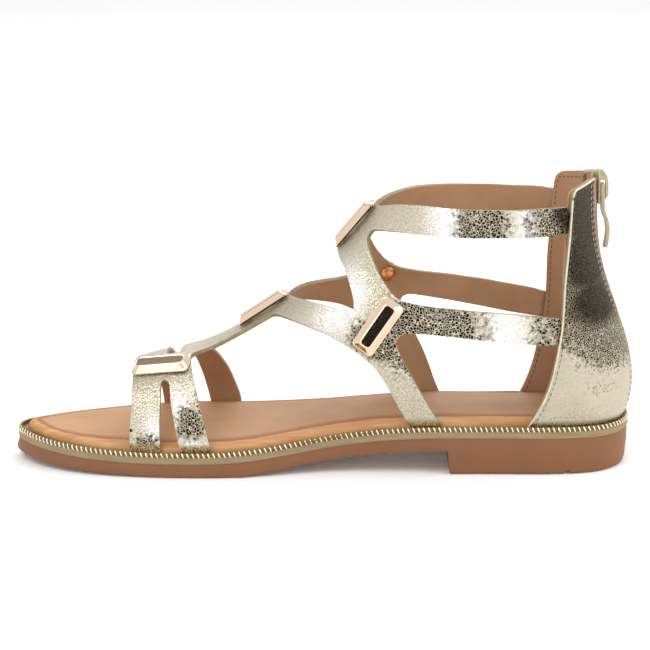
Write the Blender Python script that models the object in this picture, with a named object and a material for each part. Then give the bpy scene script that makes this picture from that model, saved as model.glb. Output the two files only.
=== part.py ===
"""Gladiator sandal for a right foot, EU size 38, in metres.

The toe points along -X, +Z is up and -Y is the inner side of the foot. The
origin is the middle of the heel's flat bottom. One shape, the last, carries
the strap cage, the counter, its lining and the zip, each at its own distance
from it. A share of length is counted from the origin, forward is negative.
"""
import math

import bpy
import numpy as np
from mathutils.geometry import delaunay_2d_cdt

# Sole
SOLE_LENGTH = 0.259
HEEL_WIDTH = 0.0565
BALL_WIDTH = 0.080
HEEL_TOP = 0.0188
BALL_TOP = 0.0092
TOE_SPRING = 0.003
WELT_THICKNESS = 0.0034
INSOLE_THICKNESS = 0.0034
INSOLE_SLOPE = 0.0026
WELT_EDGE = 0.0005
TRIM_WIDTH = 0.0015
TRIM_HEIGHT = 0.0012
EDGE_MARGIN = 0.0038
HEEL_MARGIN = 0.0063
SOLE_EDGE_RADIUS = 0.0018
HEEL_LEANS_IN = 0.0009
TOE_STANDS_OUT = 0.0008
GROOVE_WIDTH = 0.0025
GROOVE_DEPTH = 0.0010
BREAST_SLOPE = 0.0008
SHARP_STEP = 0.0002

# Shares of the outsole's side
ROUNDING_STEP = 0.3
UPPER_LINE = 0.7
LEAN_AT_UPPER_LINE = 0.3
TRIM_SHOULDER = 0.7

# Last and upper
STRAP_HEIGHT = 0.112
COUNTER_HEIGHT = 0.1215
ANKLE_WIDTH = 0.0645
CREST_ROUNDING = 0.032
STRAP_WALL = 0.0018
LINING_WALL = 0.0012
LINING_DROP = 0.0006
SHELL_WALL = 0.0016
COUNTER_CORNER = 0.007
COUNTER_FALL = 0.003
COUNTER_REACH = 0.045
CLEARANCE = 0.0003

# Zip
ZIP_OPENING = 0.0145
ZIP_RIDGE = 0.0044
COIL_WIDTH = 0.0038
COIL_THICKNESS = 0.0015
TAPE_THICKNESS = 0.0008
SLIDER_WIDTH = 0.008
SLIDER_BACK_WIDTH = 0.006
SLIDER_HEIGHT = 0.0142
SLIDER_PLATE = 0.0008
SLIDER_TOP_GAP = 0.0022
SLIDER_POST = 0.0031
SLIDER_NOSE = 0.0030
CROWN_WIDTH = 0.0026
CROWN_THICKNESS = 0.0013
CROWN_HEIGHT = 0.0124
CROWN_LEG = 0.0014
CROWN_HOLE_ABOVE = 0.0018
HINGE_BELOW_TOP = 0.0063
HINGE_PLAY = 0.0001
PULL_LENGTH = 0.0266
PULL_WIDTH = 0.0054
PULL_THICKNESS = 0.0016
PULL_TOP_BAR = 0.001
PULL_SIDE_BAR = 0.0009
PULL_WINDOW = 0.0072

# Bars and rivets
BAR_LENGTH = 0.0245
BAR_WIDTH = 0.010
BAR_HEIGHT = 0.003
BAR_RIM = 0.0007
BAR_BEVEL = 0.0022
BAR_CORNER = 0.0016
RIVET_SPACING = 0.016
RIVET_HEAD = 0.0066
RIVET_DOME = 0.0012
RIVET_STEM = 0.002
RIVET_SIDES = 14

# Mesh
SHEET_STEP = 0.0052
EDGE_STEP = 0.0045
SOLE_STATIONS = 36
COUNTER_COLUMNS = 13
COUNTER_ROWS = 12
COLUMN_CROWDING = 1.3
PULL_ROWS = 9

# How much of the flat pattern's height one turn down the side takes up
TURN_TO_LENGTH = 0.05

INNER = -1
OUTER = 1

# Where the heel's middle stands, as a share of the sole's length from its back
HEEL_MIDDLE = 0.148

# along: share of the sole's length from its back
# inner, outer: shares of the half width, which grows from the heel to the ball
SOLE_OUTLINE = (
    (0.000, 0.00, 0.00),
    (0.019, 0.60, 0.60),
    (0.054, 0.88, 0.88),
    (0.116, 1.00, 1.00),
    (0.232, 1.00, 1.00),
    (0.328, 0.99, 0.99),
    (0.448, 0.80, 0.93),
    (0.506, 0.76, 0.94),
    (0.560, 0.79, 1.00),
    (0.614, 0.83, 1.06),
    (0.695, 0.85, 1.15),
    (0.753, 0.84, 1.11),
    (0.811, 0.80, 1.00),
    (0.869, 0.72, 0.82),
    (0.927, 0.56, 0.59),
    (0.965, 0.38, 0.38),
    (0.988, 0.20, 0.23),
    (1.000, 0.00, 0.00),
)
WIDENING_START, WIDENING_END = 0.30, 0.66
FOOTBED_FALL_START, FOOTBED_FALL_END = 0.31, 0.695
SPRING_START = 0.735
HEEL_BREAST = 0.297
HEEL_GROOVE = 0.107
HEEL_LEAN_ENDS = 0.12
TOE_LEAN_STARTS = 0.80
WAIST_MEETS_FLOOR = 0.56, 0.637

# Outer face of the straps along the middle of the foot
# along: share of the sole's length, height: share of the strap height
CREST = (
    (-0.780, 0.258),
    (-0.734, 0.304),
    (-0.695, 0.344),
    (-0.653, 0.379),
    (-0.618, 0.403),
    (-0.579, 0.422),
    (-0.541, 0.448),
    (-0.483, 0.516),
    (-0.402, 0.643),
    (-0.320, 0.835),
    (-0.266, 0.987),
    (-0.228, 1.116),
    (-0.197, 1.241),
    (-0.174, 1.357),
    (-0.158, 1.473),
)

# Half width of the last as shares of half the ankle width
# along, inner and outer at mid ankle, both sides at the top strap
LAST_WIDTHS = (
    (-0.850, 0.93, 1.25, 0.74),
    (-0.600, 0.93, 1.25, 0.74),
    (-0.540, 0.94, 1.20, 0.74),
    (-0.450, 0.95, 1.08, 0.74),
    (-0.386, 0.97, 1.03, 0.74),
    (-0.266, 1.00, 1.00, 0.76),
    (-0.174, 1.01, 1.01, 0.82),
    (-0.104, 0.96, 0.96, 0.86),
    (-0.054, 0.88, 0.88, 0.83),
    (0.020, 0.76, 0.76, 0.69),
    (0.150, 0.75, 0.75, 0.68),
)
MID_ANKLE, TOP_ANKLE = 0.55, 0.95

# Outer face of the counter at the zip
# height: share of the strap height, along: share of the sole's length
BACK_LINE = (
    (0.165, 0.136),
    (0.214, 0.144),
    (0.250, 0.151),
    (0.312, 0.154),
    (0.366, 0.154),
    (0.429, 0.149),
    (0.500, 0.139),
    (0.607, 0.123),
    (0.696, 0.109),
    (0.777, 0.099),
    (0.893, 0.092),
    (1.000, 0.090),
    (1.107, 0.089),
)
BACK_TURN = 0.020

# How round the back is, height as above: 2 is an ellipse, 1 is a straight V
BACK_ROUNDNESS = (
    (0.165, 2.45),
    (0.280, 2.20),
    (0.500, 1.90),
    (0.680, 1.60),
    (0.850, 1.30),
    (1.000, 1.20),
    (1.107, 1.20),
)

# Front edge of the counter: height as above, along on the inner and the outer side
COUNTER_FRONT = (
    (0.165, -0.027, -0.025),
    (0.238, -0.008, -0.010),
    (0.320, 0.007, 0.001),
    (0.392, 0.014, 0.007),
    (0.484, 0.022, 0.015),
    (0.586, 0.026, 0.019),
    (0.735, 0.026, 0.019),
    (0.895, 0.029, 0.023),
    (1.107, 0.031, 0.027),
)

# Corner radii of the strap edges
SMOOTH = 1.0
SHARP = 0.0006
TIGHT = 0.0015
JOIN = 0.003

# Strap edges. along: share of the sole's length, height: share of the strap
# height, or across: share of half the ball width where the edge lies near the
# crest, corner: the radius there. "foot" is the welt, "counter" its front edge.
INNER_TOE_BAND = (
    (-0.656, None, 0.30, SMOOTH),
    (-0.656, 0.285, None, SMOOTH),
    (-0.656, 0.200, None, SMOOTH),
    (-0.660, "foot", None, SHARP),
    (-0.612, "foot", None, SHARP),
    (-0.611, 0.220, None, SMOOTH),
    (-0.611, 0.290, None, SMOOTH),
    (-0.611, 0.334, None, JOIN),
    (-0.596, 0.331, None, JOIN),
    (-0.597, 0.290, None, SMOOTH),
    (-0.589, 0.215, None, SMOOTH),
    (-0.579, "foot", None, SHARP),
    (-0.530, "foot", None, SHARP),
    (-0.542, 0.220, None, SMOOTH),
    (-0.556, 0.320, None, SMOOTH),
    (-0.563, None, 0.40, SMOOTH),
    (-0.565, None, 0.19, JOIN),
)
OUTER_TOE_BAND = (
    (-0.650, None, 0.50, SMOOTH),
    (-0.641, None, 0.75, SMOOTH),
    (-0.626, 0.217, None, SMOOTH),
    (-0.620, "foot", None, SHARP),
    (-0.583, "foot", None, SHARP),
    (-0.587, 0.210, None, SMOOTH),
    (-0.593, None, 0.80, SMOOTH),
    (-0.600, None, 0.50, SMOOTH),
    (-0.605, None, 0.10, SMOOTH),
    (-0.604, None, -0.09, TIGHT),
    (-0.582, None, -0.10, TIGHT),
    (-0.580, None, 0.10, SMOOTH),
    (-0.572, None, 0.50, SMOOTH),
    (-0.562, None, 0.85, SMOOTH),
    (-0.551, 0.200, None, SMOOTH),
    (-0.541, "foot", None, SHARP),
    (-0.488, "foot", None, SHARP),
    (-0.504, 0.210, None, SMOOTH),
    (-0.518, 0.283, None, SMOOTH),
    (-0.533, 0.337, None, SMOOTH),
    (-0.548, None, 0.45, SMOOTH),
    (-0.555, None, 0.20, JOIN),
)
INNER_INSTEP = (
    (-0.500, None, 0.170, SMOOTH),
    (-0.455, None, 0.165, SMOOTH),
    (-0.432, None, 0.180, SMOOTH),
    (-0.420, None, 0.280, SMOOTH),
    (-0.398, None, 0.450, SMOOTH),
    (-0.367, 0.550, None, SMOOTH),
    (-0.336, 0.530, None, SMOOTH),
    (-0.309, 0.498, None, SMOOTH),
    (-0.282, 0.457, None, SMOOTH),
    (-0.263, 0.405, None, SMOOTH),
    (-0.247, 0.341, None, SMOOTH),
    (-0.235, 0.277, None, SMOOTH),
    (-0.220, 0.215, None, SMOOTH),
    (-0.207, "foot", None, SHARP),
    (-0.155, "foot", None, SHARP),
    (-0.172, 0.217, None, SMOOTH),
    (-0.189, 0.291, None, SMOOTH),
    (-0.208, 0.371, None, SMOOTH),
    (-0.224, 0.441, None, SMOOTH),
    (-0.235, 0.490, None, SMOOTH),
    (-0.238, 0.530, None, SMOOTH),
    (-0.228, 0.554, None, SMOOTH),
    (-0.205, 0.556, None, SMOOTH),
)
OUTER_INSTEP = (
    (-0.500, None, 0.175, SMOOTH),
    (-0.455, None, 0.170, SMOOTH),
    (-0.432, None, 0.190, SMOOTH),
    (-0.420, None, 0.280, SMOOTH),
    (-0.400, None, 0.450, SMOOTH),
    (-0.360, 0.546, None, SMOOTH),
    (-0.336, 0.537, None, SMOOTH),
    (-0.309, 0.515, None, SMOOTH),
    (-0.286, 0.480, None, SMOOTH),
    (-0.263, 0.430, None, SMOOTH),
    (-0.241, 0.372, None, SMOOTH),
    (-0.226, 0.305, None, SMOOTH),
    (-0.212, 0.230, None, SMOOTH),
    (-0.203, "foot", None, SHARP),
    (-0.151, "foot", None, SHARP),
    (-0.160, 0.200, None, SMOOTH),
    (-0.170, 0.270, None, SMOOTH),
    (-0.180, 0.330, None, SMOOTH),
    (-0.191, 0.385, None, SMOOTH),
    (-0.208, 0.453, None, SMOOTH),
    (-0.221, 0.510, None, SMOOTH),
    (-0.222, 0.545, None, SMOOTH),
    (-0.212, 0.562, None, SMOOTH),
    (-0.195, 0.560, None, SMOOTH),
)
ANKLE_STRAPS = (
    (-0.166, 0.550, None, SMOOTH),
    (-0.112, 0.530, None, SMOOTH),
    (-0.054, 0.509, None, SMOOTH),
    ("counter", 0.488, None, SHARP),
    ("counter", 0.592, None, SHARP),
    (-0.054, 0.617, None, SMOOTH),
    (-0.112, 0.635, None, SMOOTH),
    (-0.170, 0.648, None, SMOOTH),
    (-0.216, 0.658, None, SMOOTH),
    (-0.238, 0.678, None, SMOOTH),
    (-0.254, 0.718, None, SMOOTH),
    (-0.267, 0.772, None, SMOOTH),
    (-0.276, 0.824, None, SMOOTH),
    (-0.279, 0.862, None, TIGHT),
    (-0.270, 0.894, None, TIGHT),
    (-0.232, 0.901, None, SMOOTH),
    (-0.170, 0.900, None, SMOOTH),
    (-0.112, 0.900, None, SMOOTH),
    (-0.050, 0.900, None, SMOOTH),
    ("counter", 0.898, None, SHARP),
    ("counter", 1.000, None, SHARP),
    (-0.050, 1.003, None, SMOOTH),
    (-0.112, 1.003, None, SMOOTH),
    (-0.170, 1.002, None, SMOOTH),
    (-0.225, 0.999, None, SMOOTH),
    (-0.257, None, 0.18, SMOOTH),
)
FRONT_OF_TOE_BAND = ((-0.655, None, 0.0, SMOOTH),)
TOP_OF_ANKLE = ((-0.264, None, 0.0, SMOOTH),)
WINDOW_BOTTOM = ((-0.406, None, 0.0, SMOOTH),)
WINDOW_TOP = ((-0.322, None, 0.0, SMOOTH),)
INNER_WINDOW = (
    (-0.398, None, 0.15, SMOOTH),
    (-0.374, None, 0.38, SMOOTH),
    (-0.340, 0.630, None, SMOOTH),
    (-0.316, 0.622, None, SMOOTH),
    (-0.302, 0.624, None, TIGHT),
    (-0.300, 0.655, None, SMOOTH),
    (-0.306, 0.704, None, SMOOTH),
    (-0.313, 0.757, None, SMOOTH),
    (-0.321, None, 0.28, SMOOTH),
)
OUTER_WINDOW = (
    (-0.398, None, 0.15, SMOOTH),
    (-0.374, None, 0.38, SMOOTH),
    (-0.340, 0.628, None, SMOOTH),
    (-0.312, 0.636, None, SMOOTH),
    (-0.293, 0.650, None, TIGHT),
    (-0.293, 0.680, None, SMOOTH),
    (-0.303, 0.724, None, SMOOTH),
    (-0.313, 0.772, None, SMOOTH),
    (-0.322, None, 0.28, SMOOTH),
)

# Both ends of each bar's middle line, in the columns of the strap edges
# name, side, along, height, across, then the same of the other end
BARS = (
    ("toe", INNER, -0.651, None, 0.235, -0.568, None, 0.350),
    ("instep", INNER, -0.480, None, 0.0, -0.406, None, 0.0),
    ("inner_side", INNER, -0.294, 0.490, None, -0.240, 0.665, None),
    ("outer_side", OUTER, -0.290, 0.500, None, -0.236, 0.677, None),
    ("ankle", INNER, -0.319, None, 0.0, -0.267, None, 0.0),
)

# Middle line of the zip's pull as shares of its length
# down: from the hinge, out: away from the counter's back
PULL_LINE = (
    (-0.020, 0.000),
    (0.020, 0.000),
    (0.200, 0.000),
    (0.357, 0.003),
    (0.451, 0.018),
    (0.545, 0.054),
    (0.677, 0.069),
    (0.808, 0.059),
    (1.000, 0.004),
)

# Half outlines of the slider's plates from the top down
# across: share of half the plate's width, up: share of half its height
OUTER_PLATE = ((0.55, 1.0), (1.0, 0.55), (1.0, -0.1), (0.78, -1.0))
INNER_PLATE = ((0.7, 1.0), (1.0, 0.55), (1.0, -0.1), (0.8, -1.0))

# Section of the insole's edge: in as a share of its slope, up as a share of its thickness
INSOLE_SECTION = ((0.0, 0.0), (0.0, 0.35), (0.3, 0.75), (1.0, 1.0))


def smooth_step(value, start, end):
    """0 before start, 1 after end and an even S between them."""
    t = np.clip((np.asarray(value, float) - start) / (end - start), 0, 1)
    return t * t * (3 - 2 * t)


def curve_through(knots, values, at):
    """A smooth curve through the knots, as a cubic Hermite spline."""
    knots = np.asarray(knots, float)
    values = np.asarray(values, float)
    slopes = np.gradient(values, knots)
    i = np.clip(np.searchsorted(knots, at) - 1, 0, len(knots) - 2)
    step = knots[i + 1] - knots[i]
    t = (np.asarray(at, float) - knots[i]) / step
    rise = (3 - 2 * t) * t * t
    bend = (t - 2 * t * t + t**3) * slopes[i] + (t**3 - t * t) * slopes[i + 1]
    return (1 - rise) * values[i] + rise * values[i + 1] + bend * step


def from_back(x):
    """Distance forward from the sole's back end."""
    return HEEL_MIDDLE * SOLE_LENGTH - np.asarray(x, float)


def sole_half_width(forward, side):
    """Half width of the welt at a distance forward from the sole's back."""
    share = np.clip(np.asarray(forward, float) / SOLE_LENGTH, 0, 1)
    rows = np.array(SOLE_OUTLINE)
    turn = np.arccos(1 - 2 * share)
    outline = curve_through(np.arccos(1 - 2 * rows[:, 0]), rows[:, 1 if side == INNER else 2], turn)
    widening = smooth_step(share, WIDENING_START, WIDENING_END)
    return outline * (HEEL_WIDTH + (BALL_WIDTH - HEEL_WIDTH) * widening) / 2


def toe_lift(forward):
    share = np.asarray(forward, float) / SOLE_LENGTH
    return TOE_SPRING * np.clip((share - SPRING_START) / (1 - SPRING_START), 0, 1) ** 2


def welt_top(forward):
    """Height of the welt's top face."""
    share = np.asarray(forward, float) / SOLE_LENGTH
    fall = smooth_step(share, FOOTBED_FALL_START, FOOTBED_FALL_END)
    return HEEL_TOP + (BALL_TOP - HEEL_TOP) * fall + toe_lift(forward)


def margin(forward):
    """How far the last stands in from the welt's edge, more round the heel."""
    share = np.asarray(forward, float) / SOLE_LENGTH
    return HEEL_MARGIN + (EDGE_MARGIN - HEEL_MARGIN) * smooth_step(share, 0.17, 0.29)


def back_of_last(z):
    """X of the last's back, inside the lining and the shell of the counter."""
    rows = np.array(BACK_LINE)
    outside = curve_through(rows[:, 0] * STRAP_HEIGHT, rows[:, 1] * SOLE_LENGTH, z)
    return outside - LINING_WALL - CLEARANCE - SHELL_WALL


def half_width(x, z, side):
    """Half width of the last at a place in side view, without its round back."""
    forward = from_back(x)
    share = np.asarray(x, float) / SOLE_LENGTH
    rows = np.array(LAST_WIDTHS)
    half = ANKLE_WIDTH / 2
    foot = sole_half_width(np.maximum(forward, 0.13 * SOLE_LENGTH), side) - margin(forward)
    mid = half * curve_through(rows[:, 0], rows[:, 1 if side == INNER else 2], share)
    top = half * curve_through(rows[:, 0], rows[:, 3], share)
    low = welt_top(forward)
    rise = np.clip((z - low) / (MID_ANKLE * STRAP_HEIGHT - low), 0, 1)
    upper = smooth_step(z, MID_ANKLE * STRAP_HEIGHT, TOP_ANKLE * STRAP_HEIGHT)
    return foot + (mid - foot) * smooth_step(rise**0.75, 0, 1) + (top - mid) * upper


def back_roundness(z):
    """Power of the back's outline from above, fuller at the sole than at the ankle."""
    rows = np.array(BACK_ROUNDNESS)
    return curve_through(rows[:, 0] * STRAP_HEIGHT, rows[:, 1], np.clip(z, HEEL_TOP, COUNTER_HEIGHT))


def closed_half_width(x, z, side):
    """The same with the round back, which starts at BACK_TURN."""
    turn = BACK_TURN * SOLE_LENGTH
    depth = back_of_last(z) - turn
    share = np.clip((x - turn) / depth, 0, 0.999)
    power = back_roundness(z)
    round_back = (1 - share**power) ** (1 / power)
    ridge = ZIP_RIDGE / 2
    return ridge + (half_width(np.minimum(x, turn), z, side) - ridge) * round_back


class Last:
    """The shape that the foot part of the upper follows.

    A place on it has a run, the distance along the crest, and a turn, 0 on the
    crest, 1 where the side stands upright and more below that.
    """

    def __init__(self):
        rows = np.array(CREST) * (SOLE_LENGTH, STRAP_HEIGHT)
        steps = np.hypot(*np.diff(rows, axis=0).T)
        knots = np.concatenate([[0], np.cumsum(steps)])
        runs = np.linspace(0, knots[-1], 400)
        outer = np.stack([curve_through(knots, rows[:, k], runs) for k in (0, 1)], -1)
        tangent = np.gradient(outer, axis=0)
        tangent /= np.hypot(*tangent.T)[:, None]
        inward = np.stack([tangent[:, 1], -tangent[:, 0]], -1)
        self.line = outer + inward * STRAP_WALL
        self.inward = inward
        steps = np.hypot(*np.diff(self.line, axis=0).T)
        self.runs = np.concatenate([[0], np.cumsum(steps)])
        self.length = self.runs[-1]
        self.grid_runs, self.grid_turns = np.meshgrid(
            np.linspace(0.02, 0.98, 150) * self.length, np.linspace(0, 2.6, 90), indexing="ij"
        )
        self.grids = {side: self.point(self.grid_runs, self.grid_turns * side) for side in (INNER, OUTER)}

    def point(self, run, turn, out=0.0):
        run, turn = np.asarray(run, float), np.asarray(turn, float)
        x0, z0 = (np.interp(run, self.runs, self.line[:, k]) for k in (0, 1))
        nx, nz = (np.interp(run, self.runs, self.inward[:, k]) for k in (0, 1))
        angle = np.clip(np.abs(turn), 0, 1) * math.pi / 2
        straight = np.maximum(np.abs(turn) - 1, 0) * math.pi / 2
        depth = CREST_ROUNDING * (1 - np.cos(angle) + straight)
        x = x0 + depth * nx
        z = z0 + depth * nz
        wide = np.where(turn < 0, -closed_half_width(x, z, INNER), closed_half_width(x, z, OUTER))
        points = np.stack([x, wide * np.sin(angle), z], -1)
        if np.any(out):
            points = points + self.normal(run, turn) * np.asarray(out)[..., None]
        return points

    def slopes(self, run, turn):
        """How the point moves with the run and with the turn."""
        dr, dt = 0.0004, 0.004
        by_run = (self.point(run + dr, turn) - self.point(run - dr, turn)) / (2 * dr)
        by_turn = (self.point(run, turn + dt) - self.point(run, turn - dt)) / (2 * dt)
        return by_run, by_turn

    def normal(self, run, turn):
        by_run, by_turn = self.slopes(run, turn)
        out = np.cross(by_run, by_turn)
        return out / np.linalg.norm(out, axis=-1, keepdims=True)

    def find(self, side, x, axis, goal):
        """Runs and turns of the places with these x and, on the given axis, these goals."""
        starts = [self.nearest(side, *row) for row in zip(x, axis, goal)]
        run, turn = np.array(starts).T
        pick = np.arange(len(run)), axis
        for _ in range(12):
            here = self.point(run, turn)
            by_run, by_turn = self.slopes(run, turn)
            step = solve_pair(by_run[:, 0], by_turn[:, 0], by_run[pick], by_turn[pick],
                              x - here[:, 0], goal - here[pick])
            run = np.clip(run + np.clip(step[0], -0.005, 0.005), 0, self.length)
            turn = turn + np.clip(step[1], -0.2, 0.2)
        return run, turn

    def nearest(self, side, x, axis, goal):
        """The nearest place of the grid, above the upright side where y is sought."""
        grid = self.grids[side]
        far = (grid[..., 0] - x) ** 2 + (grid[..., axis] - goal) ** 2
        if axis == 1:
            far = np.where(self.grid_turns < 1, far, np.inf)
        best = np.unravel_index(np.argmin(far), far.shape)
        return self.grid_runs[best], max(self.grid_turns[best], 0.01) * side


def solve_pair(a, b, c, d, first, second):
    """Solves a*p + b*q = first and c*p + d*q = second, for arrays."""
    whole = a * d - b * c
    whole = np.where(np.abs(whole) < 1e-9, 1e-9, whole)
    return (first * d - b * second) / whole, (a * second - first * c) / whole


LAST = Last()


def front_of_counter(z, side):
    rows = np.array(COUNTER_FRONT)
    along = rows[:, 1 if side == INNER else 2]
    return curve_through(rows[:, 0] * STRAP_HEIGHT, along * SOLE_LENGTH, z)


def places(side, rows):
    """Runs and turns of rows of a table of strap edges."""
    x, axis, goal = [], [], []
    for along, height, across in rows:
        if along == "counter":
            x.append(float(front_of_counter(height * STRAP_HEIGHT, side)) - CLEARANCE)
        else:
            x.append(along * SOLE_LENGTH)
        axis.append(2 if across is None else 1)
        if across is not None:
            goal.append(side * across * BALL_WIDTH / 2)
        elif height == "foot":
            goal.append(float(welt_top(from_back(x[-1]))) + CLEARANCE)
        else:
            goal.append(height * STRAP_HEIGHT)
    return LAST.find(side, np.array(x), np.array(axis), np.array(goal))


# Flat pattern of the straps: run across the page, turn up it

def pattern_edge(rows, side):
    runs, turns = places(side, [row[:3] for row in rows])
    return [(run, turn * TURN_TO_LENGTH, row[3]) for run, turn, row in zip(runs, turns, rows)]


def rounded(corners):
    """A closed outline through the corners, each rounded by its radius."""
    outline = []
    count = len(corners)
    for i, (x, y, radius) in enumerate(corners):
        here = np.array([x, y])
        before = np.array(corners[i - 1][:2]) - here
        after = np.array(corners[(i + 1) % count][:2]) - here
        reach_before = min(radius, np.linalg.norm(before) / 2)
        reach_after = min(radius, np.linalg.norm(after) / 2)
        start = here + before / np.linalg.norm(before) * reach_before
        end = here + after / np.linalg.norm(after) * reach_after
        cosine = -np.dot(before, after) / np.linalg.norm(before) / np.linalg.norm(after)
        turned = math.acos(np.clip(cosine, -1, 1))
        pieces = 1 + min(4, int(turned / 0.35))
        for k in range(pieces + 1):
            t = k / pieces
            outline.append((1 - t) ** 2 * start + 2 * t * (1 - t) * here + t * t * end)
    return divided(outline)


def divided(outline):
    """The outline with long sides divided and doubled points left out."""
    points = []
    for i, here in enumerate(outline):
        after = outline[(i + 1) % len(outline)]
        gap = np.linalg.norm(after - here)
        if gap < 0.0003:
            continue
        pieces = max(1, math.ceil(gap / EDGE_STEP))
        points += [here + (after - here) * k / pieces for k in range(pieces)]
    return np.array(points)


def inside(points, outline):
    """Which points lie inside a closed outline, by the even and odd rule."""
    x, y = points[:, 0], points[:, 1]
    found = np.zeros(len(points), bool)
    for (x0, y0), (x1, y1) in zip(outline, np.roll(outline, -1, axis=0)):
        crossed = (y0 > y) != (y1 > y)
        if np.any(crossed):
            at = x0 + (y - y0) * (x1 - x0) / np.where(crossed, y1 - y0, 1)
            found ^= crossed & (x < at)
    return found


def distance_to(points, outline):
    starts, ends = outline, np.roll(outline, -1, axis=0)
    nearest = np.full(len(points), np.inf)
    for a, b in zip(starts, ends):
        t = np.clip((points - a) @ (b - a) / max((b - a) @ (b - a), 1e-12), 0, 1)
        nearest = np.minimum(nearest, np.linalg.norm(points - a - t[:, None] * (b - a), axis=1))
    return nearest


def triangulated(outline, holes):
    """Points and triangles of a flat pattern with holes in it."""
    low, high = outline.min(axis=0), outline.max(axis=0)
    rows = np.arange(low[1], high[1], SHEET_STEP * math.sqrt(3) / 2)
    grid = np.array([
        (x + (SHEET_STEP / 2 if k % 2 else 0), y)
        for k, y in enumerate(rows)
        for x in np.arange(low[0], high[0], SHEET_STEP)
    ])
    keep = inside(grid, outline) & (distance_to(grid, outline) > SHEET_STEP * 0.45)
    for hole in holes:
        keep &= ~inside(grid, hole) & (distance_to(grid, hole) > SHEET_STEP * 0.45)
    loops = [outline] + list(holes)
    points = np.concatenate(loops + [grid[keep]])
    edges, start = [], 0
    for loop in loops:
        count = len(loop)
        edges += [(start + k, start + (k + 1) % count) for k in range(count)]
        start += count
    found = delaunay_2d_cdt([tuple(p) for p in points * 1000], edges, [], 0, 1e-5)
    corners = np.array([tuple(p) for p in found[0]]) / 1000
    faces = np.array(found[2])
    middles = corners[faces].mean(axis=1)
    keep = inside(middles, outline)
    for hole in holes:
        keep &= ~inside(middles, hole)
    return corners, faces[keep]


# Solids

def make_node(name, points, faces, material, smooth=True):
    mesh = bpy.data.meshes.new(name)
    mesh.from_pydata([tuple(map(float, p)) for p in points], [], [tuple(map(int, f)) for f in faces])
    mesh.validate()
    mesh.update()
    mesh.materials.append(material)
    if smooth:
        mesh.shade_smooth()
        mesh.set_sharp_from_angle(angle=math.radians(40))
    node = bpy.data.objects.new(name, mesh)
    bpy.context.scene.collection.objects.link(node)
    return node


def closed_sheet(inner, outer, faces):
    """A sheet with thickness: both faces and a wall round every free edge."""
    count = len(inner)
    faces = [tuple(f) for f in faces]
    sides = {(f[k], f[(k + 1) % len(f)]) for f in faces for k in range(len(f))}
    walls = [(a, b, b + count, a + count) for a, b in sides if (b, a) not in sides]
    walls.sort()
    shell = [tuple(k + count for k in f) for f in faces] + [f[::-1] for f in faces] + walls
    return np.concatenate([inner, outer]), shell


def grid_faces(rows, columns, skip=()):
    return [
        (r * columns + c, r * columns + c + 1, (r + 1) * columns + c + 1, (r + 1) * columns + c)
        for r in range(rows - 1)
        for c in range(columns - 1)
        if (r, c) not in skip
    ]


def volume_of(points, faces):
    """Six times the volume inside the faces, negative if they look inward."""
    return sum(
        np.dot(points[f[0]], np.cross(points[f[k]], points[f[k + 1]]))
        for f in faces
        for k in range(1, len(f) - 1)
    )


def stacked_loops(levels):
    """A solid through closed loops, from the lowest to the highest.

    Each loop runs from the heel's back along the inner side to the toe and
    back along the outer side, with one point at each end.
    """
    size = len(levels[0])
    half = size // 2
    faces = []
    for k in range(len(levels) - 1):
        for i in range(size):
            j = (i + 1) % size
            faces.append((k * size + i, k * size + j, (k + 1) * size + j, (k + 1) * size + i))
    ladder = [(0, 1, size - 1)]
    ladder += [(i, i + 1, size - i - 1, size - i) for i in range(1, half - 1)]
    ladder += [(half - 1, half, half + 1)]
    top = (len(levels) - 1) * size
    faces += [tuple(k + top for k in f) for f in ladder]
    faces += [f[::-1] for f in ladder]
    points = np.concatenate(levels)
    if volume_of(points, faces) < 0:
        faces = [f[::-1] for f in faces]
    return points, faces


def sole_stations(extra=()):
    turn = np.linspace(0, math.pi, SOLE_STATIONS + 1)
    even = SOLE_LENGTH * (1 - np.cos(turn)) / 2
    for wanted in extra:
        even = even[np.abs(even - wanted) > GROOVE_WIDTH / 2 + 2 * SHARP_STEP]
    return np.sort(np.concatenate([even, extra]))


def sole_loop(stations, inset):
    """The sole's outline moved in by inset: x and y, and the station of each point."""
    inner = [(s, -float(sole_half_width(s, INNER))) for s in stations[1:-1]]
    outer = [(s, float(sole_half_width(s, OUTER))) for s in stations[-2:0:-1]]
    loop = np.array([(stations[0], 0.0)] + inner + [(stations[-1], 0.0)] + outer)
    tangent = np.roll(loop, -1, axis=0) - np.roll(loop, 1, axis=0)
    tangent /= np.linalg.norm(tangent, axis=1)[:, None]
    inward = np.stack([-tangent[:, 1], tangent[:, 0]], -1)
    moved = loop + inward * np.broadcast_to(np.asarray(inset, float), len(loop))[:, None]
    x = HEEL_MIDDLE * SOLE_LENGTH - moved[:, 0]
    return np.stack([x, moved[:, 1]], -1), loop[:, 0]


def level(stations, inset, height):
    """One loop of a sole layer, its height worked out from the station."""
    flat, station = sole_loop(stations, inset)
    return np.column_stack([flat, height(station) if callable(height) else height])


def outsole_bottom(forward):
    share = forward / SOLE_LENGTH
    waist = welt_top(forward) - BALL_TOP - toe_lift(forward)
    waist *= 1 - smooth_step(share, *WAIST_MEETS_FLOOR)
    heel = share < HEEL_BREAST
    groove = np.abs(share - HEEL_GROOVE) * SOLE_LENGTH < GROOVE_WIDTH / 2
    return np.where(heel, np.where(groove, GROOVE_DEPTH, 0.0), waist) + toe_lift(forward)


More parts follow.
